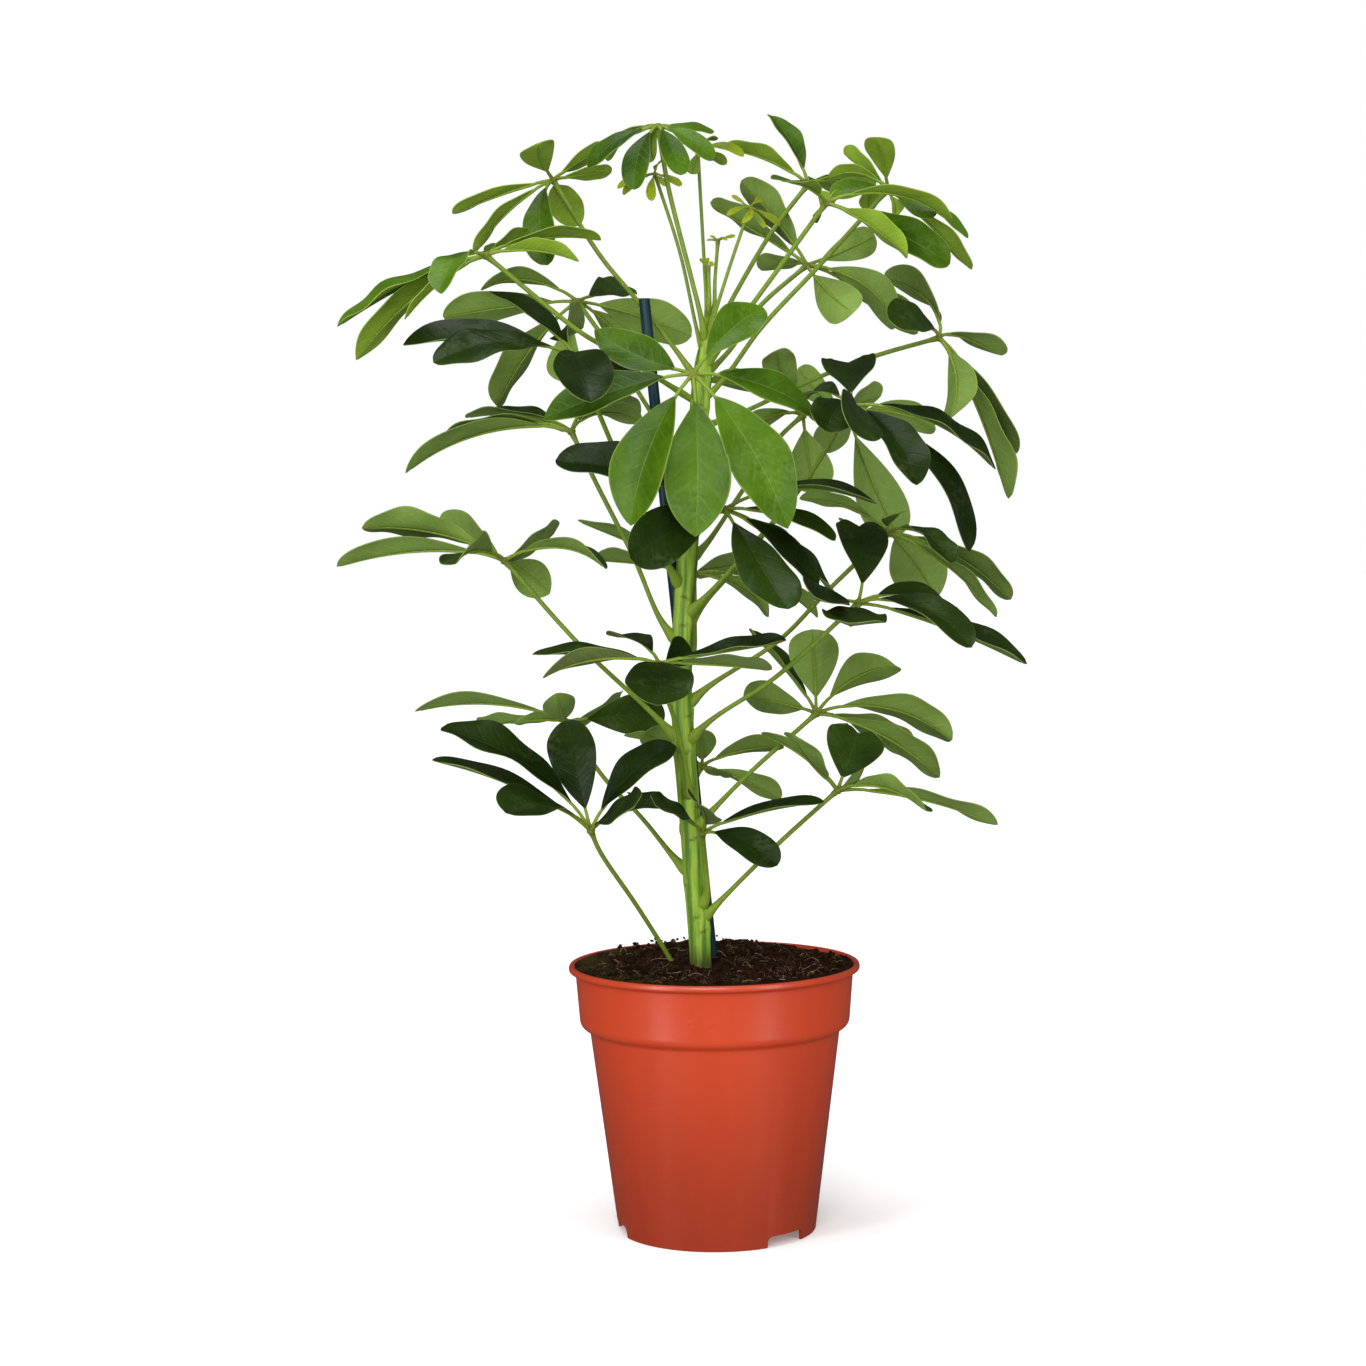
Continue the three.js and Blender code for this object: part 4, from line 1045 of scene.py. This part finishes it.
class PLANT_OT_pot(bpy.types.Operator):
    """Makes the round nursery pot with its rolled lip, notched foot and drain holes"""
    bl_idname = "plant.pot"
    bl_label = "Pot"

    def execute(self, context):
        colours = context.scene.plant_colours
        bm = bmesh.new()
        spun(bm, POT_PROFILE, SPIN_STEPS)
        body = loose(bm, "pot_body")
        # Each cutter reaches past the wall on both sides.
        cutters = []
        for bearing in NOTCH_BEARINGS:
            bm = bmesh.new()
            width = 2 * FOOT_RADIUS * math.sin(math.radians(NOTCH_SPAN / 2))
            verts = bmesh.ops.create_cube(bm, size=1)["verts"]
            bmesh.ops.scale(bm, vec=(width, 20, NOTCH_HEIGHT * 2), verts=verts)
            uprights = [e for e in bm.edges if abs(e.verts[0].co.y - e.verts[1].co.y) > 1
                        and e.verts[0].co.z > 0]
            bmesh.ops.bevel(bm, geom=uprights, offset=NOTCH_CORNER, affect="EDGES", segments=5,
                            profile=0.5, material=-1)
            bmesh.ops.translate(bm, vec=(0, -FOOT_RADIUS + 2, 0), verts=bm.verts)
            bmesh.ops.rotate(bm, cent=(0, 0, 0), matrix=Matrix.Rotation(math.radians(bearing), 3, "Z"),
                             verts=bm.verts)
            cutters.append(loose(bm, "notch"))
        for index in range(DRAIN_HOLES):
            bm = bmesh.new()
            verts = bmesh.ops.create_cone(bm, cap_ends=True, segments=24, radius1=DRAIN_RADIUS,
                                          radius2=DRAIN_RADIUS, depth=12)["verts"]
            bearing = (index + 0.5) * math.tau / DRAIN_HOLES
            centre = Vector((DRAIN_CIRCLE * math.cos(bearing), DRAIN_CIRCLE * math.sin(bearing), FLOOR_TOP))
            bmesh.ops.translate(bm, vec=centre, verts=verts)
            cutters.append(loose(bm, "drain"))
        cut(body, cutters)
        bm = bmesh.new()
        bm.from_mesh(body.data)
        bpy.data.meshes.remove(body.data)
        piece(bm, "pot_shell", [pot_finish(colours.pot)], ["pot"])
        return {"FINISHED"}


# ---------------------------------------------------------------- the soil
def soil_height(x, y):
    """The soil's top without its crumbs, in millimetres."""
    heap = 7.5 * math.exp(-((x + 4) ** 2 + (y - 30) ** 2) / 1000)
    back = 2.2 * smoothly(y, 20, 60) * (1 - smoothly(x, 20, 58))
    right = -1.5 * math.exp(-((x - 48) ** 2 + (y - 40) ** 2) / 700)
    edge = 3.8 * smoothly(math.hypot(x, y), 45, 76)
    front = 1.2 * math.exp(-((x - 4) ** 2 + (y + 50) ** 2) / 1500)
    lumps = 0.7 * math.sin(x / 6.1 + 1.3) * math.sin(y / 5.3) + 0.5 * math.sin((x + y) / 3.7)
    return SOIL_LEVEL + heap + back + right + edge + front + lumps


def crumbled(x, y):
    """The soil's top with its crumbs, in millimetres."""
    coarse = noise.fractal(Vector((x / 8, y / 8, 0)), 1.0, 2.0, 4)
    fine = noise.fractal(Vector((x / 2.2, y / 2.2, 7)), 1.0, 2.0, 3)
    return soil_height(x, y) + 2.2 * coarse + 1.3 * fine


def mossy(x, y):
    """How much moss grows at a place on the soil, from 0 to 1."""
    rim = smoothly(math.hypot(x, y), 48, 76)
    left = smoothly(-x, 5, 60)
    patch = 0.5 + noise.noise(Vector((x / 22, y / 22, 3)))
    return min(1.0, max(0.0, rim * left * (patch - 0.25) * 1.8))


def scattered(draw, outer, clear):
    """A place on the soil inside outer and outside clear, which is counted from the stem."""
    while True:
        radius, bearing = outer * math.sqrt(draw.random()), draw.uniform(0, math.tau)
        x, y = radius * math.cos(bearing), radius * math.sin(bearing)
        if math.hypot(x - STEM_LINE[0][0], y) > clear:
            return x, y


class PLANT_OT_soil(bpy.types.Operator):
    """Makes the heaped peat with its crumbs and moss"""
    bl_idname = "plant.soil"
    bl_label = "Soil"

    def execute(self, context):
        colours, sizes = context.scene.plant_colours, context.scene.plant_sizes
        bm = bmesh.new()
        moss = bm.verts.layers.float.new("moss")
        radii = [SOIL_REACH * (k / SOIL_RINGS) ** 0.8 for k in range(SOIL_RINGS, -1, -1)]
        spun(bm, SOIL_WALL + [(radius, SOIL_LEVEL, 0) for radius in radii], SPIN_STEPS)
        for vert in bm.verts:
            x, y, z = vert.co
            if z > SOIL_LEVEL - 1:
                height = crumbled(x, y)
                near_wall = math.hypot(x, y) > LEVELLED_FROM
                vert.co.z = min(height, POT_HEIGHT - 0.2) if near_wall else height
                vert[moss] = mossy(x, y)
        draw = random.Random(SEED)
        for _ in range(sizes.crumbs):
            x, y = scattered(draw, CRUMB_REACH, CRUMB_GAP)
            size = draw.uniform(0.5, 1.7) * (1.9 if draw.random() < 0.1 else 1)
            verts = bmesh.ops.create_icosphere(bm, subdivisions=1, radius=size)["verts"]
            squash = Vector((draw.uniform(0.6, 1.3), draw.uniform(0.6, 1.3), draw.uniform(0.4, 0.9)))
            bmesh.ops.scale(bm, vec=squash, verts=verts)
            turn = Matrix.Rotation(draw.uniform(0, math.tau), 3, (draw.random(), draw.random(), 1))
            bmesh.ops.rotate(bm, cent=(0, 0, 0), matrix=turn, verts=verts)
            spot = Vector((x, y, crumbled(x, y) + size * 0.25))
            bmesh.ops.translate(bm, vec=spot, verts=verts)
            for vert in verts:
                vert[moss] = mossy(x, y) * draw.uniform(0.3, 1)
        finish = soil_finish(colours.soil_damp, colours.soil_dry, colours.moss)
        piece(bm, "peat", [finish], ["soil"])
        return {"FINISHED"}


class PLANT_OT_fibres(bpy.types.Operator):
    """Scatters the straw fibres over the soil"""
    bl_idname = "plant.fibres"
    bl_label = "Straw fibres"

    def execute(self, context):
        colours, sizes = context.scene.plant_colours, context.scene.plant_sizes
        bm = bmesh.new()
        shade = bm.verts.layers.float.new("shade")
        draw = random.Random(SEED + 1)
        for _ in range(sizes.fibres):
            x, y = scattered(draw, FIBRE_REACH, FIBRE_GAP)
            length = draw.uniform(2, 6) if draw.random() < 0.7 else draw.uniform(6, 14)
            bearing = draw.uniform(0, math.tau)
            step = Vector((math.cos(bearing), math.sin(bearing), 0))
            swerve = Vector((-step.y, step.x, 0)) * draw.uniform(-0.5, 0.5) * length
            rise = draw.uniform(0.2, 3.0) if draw.random() < 0.35 else 0.4
            spots = []
            for k in (-1, -0.3, 0.3, 1):
                spot = Vector((x, y, 0)) + step * k * length / 2 + swerve * (1 - k * k) * 0.5
                reach = math.hypot(spot.x, spot.y)
                if reach > FIBRE_LIMIT:
                    spot *= FIBRE_LIMIT / reach
                spot.z = crumbled(spot.x, spot.y) + 0.3 + rise * (1 - k * k)
                spots.append(spot)
            thick = draw.uniform(0.07, 0.18)
            tone = draw.random()
            rod(bm, Line(through(spots, 4)), lambda share, turn: thick * (1 - 0.5 * share), 3, 6,
                {shade: tone})
        piece(bm, "straw_fibres", [fibre_finish(colours.fibre, colours.soil_dry)], [])
        return {"FINISHED"}


# ---------------------------------------------------------------- stem and stake
# The stem's radius at its foot, how much less it is just under the top, and at the rounded end.
STEM_RADIUS = 6.4
STEM_SLIMMING = 1.1
STEM_END = 1.6


def stem_radius(share):
    """The stem's radius up its length, slimmer from the middle up and rounded off at the top."""
    body = STEM_RADIUS - STEM_SLIMMING * max(0.0, share - 0.55) / 0.45
    return STEM_END + (body - STEM_END) * smoothly(1 - share, 0, 0.09)


def petiole_line(plan):
    """The line that a leaf's petiole runs along, from the stem to the hub."""
    return Line(through([sight(point) for point in plan["petiole"]]))


class PLANT_OT_stem(bpy.types.Operator):
    """Makes the green stem, swollen and scarred where the petioles leave it"""
    bl_idname = "plant.stem"
    bl_label = "Stem"

    def execute(self, context):
        colours = context.scene.plant_colours
        bm = bmesh.new()
        ridge, scar = (bm.verts.layers.float.new(name) for name in ("ridge", "scar"))
        line = Line(through([sight(point) for point in STEM_LINE]))
        nodes = []
        for plan in LEAVES.values():
            petiole = petiole_line(plan)
            start = petiole.at(0)
            share = min((k / 400 for k in range(401)), key=lambda s: (line.at(s) - start).length)
            heading = line.heading(share)
            out = ROD_LEAD.cross(heading).normalized()
            front = out.cross(heading).normalized()
            leaving = petiole.heading(0.02)
            turn = math.atan2(leaving.dot(front), leaving.dot(out))
            nodes.append((share * line.length, turn))

        def spread(turn, bearing):
            """The angle between two directions round the stem."""
            return abs((turn - bearing + math.pi) % math.tau - math.pi)

        def swelling(share, turn):
            where = share * line.length
            grown = 0.0
            for mark, bearing in nodes:
                grown += 0.8 * hump(where, mark, 6) * hump(spread(turn, bearing), 0, 0.7)
                if where < mark:
                    grown += 0.4 * math.exp((where - mark) / 40) * hump(spread(turn, bearing), 0, 0.3)
            return min(1.1, grown)

        def radius(share, turn):
            ribs = 0.14 * math.sin(turn * 5 + share * 7) + 0.1 * math.sin(turn * 9 - share * 11)
            return stem_radius(share) * 0.96 + ribs + swelling(share, turn)

        def ridged(share, turn):
            return min(1.0, 0.5 + 0.5 * math.sin(turn * 5 + share * 7) + swelling(share, turn) * 0.5)

        def scarred(share, turn):
            where = share * line.length
            lines = sum(1.3 * hump(where, mark - 3.4 + math.cos(spread(turn, bearing) * 2), 0.7)
                        * hump(spread(turn, bearing), 0.85, 0.42) for mark, bearing in nodes)
            husk = smoothly(where, 66, 50) * hump(spread(turn, 2.4), 0, 0.5)
            return min(1.0, lines + husk)

        rod(bm, line, radius, 32, 340, {ridge: ridged, scar: scarred})
        finish = stem_finish(colours.stem, colours.stem_streak, colours.scar)
        piece(bm, "stem_skin", [finish], ["stem"])
        return {"FINISHED"}


class PLANT_OT_stake(bpy.types.Operator):
    """Makes the coated stake behind the stem"""
    bl_idname = "plant.stake"
    bl_label = "Stake"

    def execute(self, context):
        colours, sizes = context.scene.plant_colours, context.scene.plant_sizes
        radius = sizes.stake / METRES
        top, low = sight(STAKE_TOP), sight(STAKE_LOW)
        foot = top + (low - top) * ((top.z - STAKE_FOOT) / (top.z - low.z))
        bm = bmesh.new()
        bmesh.ops.create_cone(bm, cap_ends=True, segments=32, radius1=radius, radius2=radius,
                              depth=(top - foot).length)
        rims = [edge for edge in bm.edges if edge.calc_face_angle(0) > SHARP_ANGLE]
        bmesh.ops.bevel(bm, geom=rims, offset=0.5, affect="EDGES", segments=3, profile=0.5, material=-1)
        lean = UP.rotation_difference(top - foot).to_matrix()
        bmesh.ops.rotate(bm, cent=(0, 0, 0), matrix=lean, verts=bm.verts)
        bmesh.ops.translate(bm, vec=(top + foot) / 2, verts=bm.verts)
        piece(bm, "stake_rod", [stake_finish(colours.stake)], ["stake"])
        return {"FINISHED"}


# ---------------------------------------------------------------- the leaves
# How strongly the midrib shows on the upper side of each finish.
MIDRIB_SHARES = {"dark": 0.012, "green": 0.16, "light": 0.04, "young": 0.4}
# How pointed a blade's end is: 0.5 is round and 1 comes to a point.
PLAIN_TIP = 0.6
# Leaflets whose end is notched like a heart, as (leaf, the leaflet's place in its list).
HEARTS = {("dark_right", 0), ("right_low_dark", 0), ("lowest_right", 2)}
# How much wider a petiole is at its base where it rises from the soil, and where it leaves the
# stem above CROWN_FROM. On the rest of the stem it swells to the base radius of PlantSizes.
SOIL_SWELL = 1.1
CROWN_FROM = 430
CROWN_SWELL = 1.5
# How thick the stalks and hub of a young leaf are, over those of a grown one.
YOUNG_SCALE = 0.55
YOUNG_PETIOLE = 0.74
YOUNG_BASE = 0.47
# The hub of a grown leaf, and the points that a leaflet's stalk is drawn through.
HUB_RADIUS = 2.6
STALK_STEPS = 24


def outline(share, base, end):
    """Half width over the blade's half width, at a share of the blade's length."""
    if share <= 0 or share >= 1:
        return 0.0
    widest = base / (base + end)
    return (share / widest) ** base * ((1 - share) / (1 - widest)) ** end


def blade(bm, leaflet, heart, point_share, draw, marks, thickness):
    """Adds a leaflet's blade, folded along its midrib and waved at its margins.

    Gives back how deep the fold lies under the leaflet's own line at a share of its length.
    """
    columns, rows = (14, 28) if leaflet.width > 16 else (10, 20)
    fold = draw.uniform(0.24, 0.36) if leaflet.width > FOLDED_FROM else 0.18
    waves, phase = draw.uniform(1.2, 2.6), draw.uniform(0, math.tau)
    wave, curl = draw.uniform(0.04, 0.1), draw.uniform(-0.04, 0.14)
    base, end = draw.uniform(0.98, 1.2), point_share + draw.uniform(-0.07, 0.07)
    # A heart ends before its outline has closed.
    kept = 0.93 if heart else 1.0

    def half_width(share):
        return outline(share * kept, base, end) * leaflet.width / 2

    def place(side, share):
        # Rows lie closer together towards both ends.
        eased = share - 0.35 * math.sin(math.tau * share) / math.tau
        t = STALK_SHARE + (1 - STALK_SHARE) * eased
        point, heading, face = leaflet.frame(t)
        half = half_width(eased)
        away = abs(side)
        if heart:
            cleft = 0.1 * (1 - away) ** 1.5 + 0.08 * away ** 4
            point = point - heading * leaflet.length * cleft * smoothly(eased, 0.6, 1)
        ripple = wave * math.sin(math.tau * waves * eased + phase * (1 if side > 0 else 1.7))
        raised = fold * (away ** 1.25 - 0.5) - curl * away ** 3 + ripple * away ** 2
        return point + leaflet.side * side * half + face * (raised * half + thickness / 2)

    across, along, under, shade = marks
    values = {across: lambda side, share: side, along: lambda side, share: share,
              shade: draw.random(), under: 0.0}
    verts = sheet(bm, columns, rows, place, values)
    bmesh.ops.remove_doubles(bm, verts=verts, dist=WELD)
    upper = [vert for vert in verts if vert.is_valid]
    made = bmesh.ops.solidify(bm, geom=faces_of(upper), thickness=thickness)
    known = set(upper)
    for item in made["geom"]:
        if isinstance(item, bmesh.types.BMVert) and item not in known:
            item[under] = 1.0
    return lambda t: fold / 2 * half_width(max(0.0, t - STALK_SHARE) / (1 - STALK_SHARE))


def leaflet_stalk(bm, leaflet, scale, marks, thickness, fold_depth):
    """Adds a leaflet's stalk, which runs on under the blade as its midrib."""
    line = Line([leaflet.frame(k / STALK_STEPS)[0] for k in range(STALK_STEPS)])
    joint, shade = marks

    def radius(share, turn):
        return scale * (0.95 * (1 - share) ** 0.8 + 0.16 + 0.35 * math.exp(-share * leaflet.length / 2.5))

    def shift(share):
        t = share * (STALK_STEPS - 1) / STALK_STEPS
        depth = thickness / 2 + 0.6 * radius(share, 0)
        return leaflet.frame(t)[2] * (-depth * smoothly(t, 0.12, 0.24) - fold_depth(t))

    rod(bm, line, radius, 8, 18,
        {joint: lambda share, turn: math.exp(-share * leaflet.length / 3), shade: 0.6}, shift)


class PLANT_OT_leaves(bpy.types.Operator):
    """Makes the compound leaves, each a petiole with its leaflets round a hub"""
    bl_idname = "plant.leaves"
    bl_label = "Leaves"

    def execute(self, context):
        colours, sizes = context.scene.plant_colours, context.scene.plant_sizes
        blades = {tone: blade_finish("blade_" + tone, getattr(colours, tone + "_upper"),
                                     getattr(colours, tone + "_under"), colours.vein,
                                     MIDRIB_SHARES[tone], tone == "dark")
                  for tone in MIDRIB_SHARES}
        stalks = stalk_finish(colours.petiole, colours.scar)
        for name, plan in LEAVES.items():
            tone = plan.get("tone", plan["finish"])
            self.leaf(name, plan, sizes, [blades[tone], stalks])
        return {"FINISHED"}

    def leaf(self, name, plan, sizes, materials):
        young = plan["reach"] < YOUNG_REACH
        scale = YOUNG_SCALE if young else 1.0
        draw = random.Random(name)
        bm = bmesh.new()
        bm.loops.layers.uv.new("skin")
        across, along, under, shade, joint = (
            bm.verts.layers.float.new(mark) for mark in ("across", "along", "under", "shade", "joint"))
        line = petiole_line(plan)
        hub = line.at(1)
        leaf_up = (line.heading(1) * 0.45 + UP).normalized()
        thickness = sizes.blade / METRES
        leaflets = [Leaflet(hub, row, plan["reach"], plan.get("shape", PLAIN_SHAPE), leaf_up)
                    for row in plan["leaflets"]]
        marks = (across, along, under, shade)
        folds = [blade(bm, leaflet, (name, index) in HEARTS, plan.get("tip", PLAIN_TIP), draw, marks,
                       thickness) for index, leaflet in enumerate(leaflets)]
        blade_faces = len(bm.faces)
        for leaflet, fold_depth in zip(leaflets, folds):
            leaflet_stalk(bm, leaflet, scale, (joint, shade), thickness, fold_depth)
        slim = sizes.petiole / METRES * (YOUNG_PETIOLE if young else 1)
        base = sizes.petiole_base / METRES * (YOUNG_BASE if young else 1)
        if line.at(0).z < SOIL_LEVEL + 10:
            base = slim * SOIL_SWELL
        elif line.at(0).z > CROWN_FROM:
            base = slim * CROWN_SWELL

        # Distances along the petiole are in millimetres.
        def radius(share, turn):
            gone = max(0.0, share * line.length - 6) / 12
            flare = 0.7 * scale * hump((1 - share) * line.length, 0, 4)
            sheath = 0.3 * (base - slim) * hump(share * line.length, 8.5, 4)
            return slim + (base - slim) * math.exp(-gone ** 1.5) + flare + sheath

        def jointed(share, turn):
            return max(hump((1 - share) * line.length, 0, 3), 0.2 * hump(share * line.length, 5.5, 1.5))

        def shaded(share, turn):
            return 0.3 + 0.9 * math.exp(-share * line.length / 14)

        rod(bm, line, radius, 14, 48, {joint: jointed, shade: shaded})
        knob = bmesh.ops.create_icosphere(bm, subdivisions=3, radius=HUB_RADIUS * scale)["verts"]
        lean = UP.rotation_difference(line.heading(1)).to_matrix()
        bmesh.ops.scale(bm, vec=(1, 1, 0.7), verts=knob)
        bmesh.ops.rotate(bm, cent=(0, 0, 0), matrix=lean, verts=knob)
        bmesh.ops.translate(bm, vec=hub, verts=knob)
        for vert in knob:
            vert[joint] = 0.7
            vert[shade] = 0.5
        bm.faces.ensure_lookup_table()
        for face in bm.faces[blade_faces:]:
            face.material_index = 1
        piece(bm, name + "_leaf", materials, ["leaf_" + name])


# ---------------------------------------------------------------- the stage
# The camera's lens and sensor in millimetres, and how it is turned in degrees.
LENS = 68.07
SENSOR = 36.0
PITCH, ROLL, YAW = 2.95, -0.69, -0.62
LIT_POINT = Vector((0, 0, 0.3))
# The backdrop's strength is 1 to the camera and GLOSS to other rays, of which diffuse ones have
# AMBIENT on top.
AMBIENT = 0.48
GLOSS = 0.08
# Area lights as (name, place, width, height, watts), in metres.
SOFTBOXES = (
    ("softbox_left", (-1.15, -1.2, 0.5), 0.4, 2.0, 15),
    ("softbox_right", (1.15, -1.2, 0.5), 0.4, 2.0, 11),
    ("softbox_front", (-0.2, -1.8, 0.9), 0.8, 1.0, 16),
)
# Suns as (name, a place that it shines from, spread in degrees, strength).
SUNS = (("sky_panel", (-0.15, -0.12, 1.6), 45, 1.7),)


def studio_light():
    """A white backdrop all round, which lights the plant only a little."""
    world = bpy.data.worlds.new("studio")
    world.use_nodes = True
    finish = Finish(world.name, world)
    seen, scattered = (finish.node("ShaderNodeLightPath", output=name)
                       for name in ("Is Camera Ray", "Is Diffuse Ray"))
    shader = finish.node("ShaderNodeBackground", sockets={
        "Color": (1, 1, 1, 1), "Strength": seen + scattered * AMBIENT + GLOSS * (1 - seen)})
    finish.node("ShaderNodeOutputWorld", sockets={"Surface": shader})
    return world


class PLANT_OT_stage(bpy.types.Operator):
    """Sets out the floor, the studio lights and the camera"""
    bl_idname = "plant.stage"
    bl_label = "Stage"

    def execute(self, context):
        scene = context.scene
        bm = bmesh.new()
        bmesh.ops.create_grid(bm, x_segments=4, y_segments=4, size=30)
        mesh = bpy.data.meshes.new("studio_floor")
        bm.to_mesh(mesh)
        bm.free()
        mesh.materials.append(floor_finish())
        floor = bpy.data.objects.new("studio_floor", mesh)
        scene.collection.objects.link(floor)
        floor.visible_diffuse = False
        floor.visible_glossy = False
        floor.visible_shadow = False
        scene.world = studio_light()
        scene.view_settings.view_transform = "Standard"
        for name, place, width, height, power in SOFTBOXES:
            light = bpy.data.lights.new(name, "AREA")
            light.shape = "RECTANGLE"
            light.size, light.size_y = width, height
            light.energy = power
            self.hang(light, place)
        for name, place, spread, strength in SUNS:
            light = bpy.data.lights.new(name, "SUN")
            light.angle = math.radians(spread)
            light.energy = strength
            self.hang(light, place)
        self.camera(scene)
        return {"FINISHED"}

    def hang(self, light, place):
        """Hangs a light at a place, looking at the plant's middle."""
        lamp = bpy.data.objects.new(light.name, light)
        lamp.location = place
        lamp.rotation_euler = (Vector(place) - LIT_POINT).to_track_quat("Z", "Y").to_euler()
        bpy.context.scene.collection.objects.link(lamp)

    def camera(self, scene):
        pitch, roll, yaw = (math.radians(angle) for angle in (PITCH, ROLL, YAW))
        ahead = Vector((math.sin(yaw) * math.cos(pitch), math.cos(yaw) * math.cos(pitch), -math.sin(pitch)))
        level = Vector((math.cos(yaw), -math.sin(yaw), 0))
        above = level.cross(ahead)
        right = level * math.cos(roll) + above * math.sin(roll)
        above = above * math.cos(roll) - level * math.sin(roll)
        lens = bpy.data.cameras.new("camera")
        lens.lens = LENS
        lens.sensor_width = SENSOR
        camera = bpy.data.objects.new("camera", lens)
        turned = Matrix((right, above, -ahead)).transposed().to_4x4()
        turned.translation = EYE * METRES
        camera.matrix_world = turned
        scene.collection.objects.link(camera)
        scene.camera = camera


# ---------------------------------------------------------------- the add-on
OPERATORS = (PLANT_OT_pot, PLANT_OT_soil, PLANT_OT_fibres, PLANT_OT_stem, PLANT_OT_stake,
             PLANT_OT_leaves, PLANT_OT_stage)


class PLANT_PT_panel(bpy.types.Panel):
    """Lists the plant's pieces, sizes and colours"""
    bl_idname = "PLANT_PT_panel"
    bl_label = "Umbrella plant"
    bl_space_type = "VIEW_3D"
    bl_region_type = "UI"
    bl_category = "Plant"

    def draw(self, context):
        for operator in OPERATORS:
            self.layout.operator(operator.bl_idname)
        for settings in (context.scene.plant_sizes, context.scene.plant_colours):
            box = self.layout.box()
            for name in settings.bl_rna.properties.keys():
                if name not in ("rna_type", "name"):
                    box.prop(settings, name)


CLASSES = (PlantSizes, PlantColours, *OPERATORS, PLANT_PT_panel)


def register():
    for item in CLASSES:
        bpy.utils.register_class(item)
    bpy.types.Scene.plant_sizes = bpy.props.PointerProperty(type=PlantSizes)
    bpy.types.Scene.plant_colours = bpy.props.PointerProperty(type=PlantColours)


def unregister():
    del bpy.types.Scene.plant_colours
    del bpy.types.Scene.plant_sizes
    for item in reversed(CLASSES):
        bpy.utils.unregister_class(item)


def main():
    register()
    bpy.ops.plant.pot()
    bpy.ops.plant.soil()
    bpy.ops.plant.fibres()
    bpy.ops.plant.stem()
    bpy.ops.plant.stake()
    bpy.ops.plant.leaves()
    bpy.ops.plant.stage()


if __name__ == "__main__":
    main()
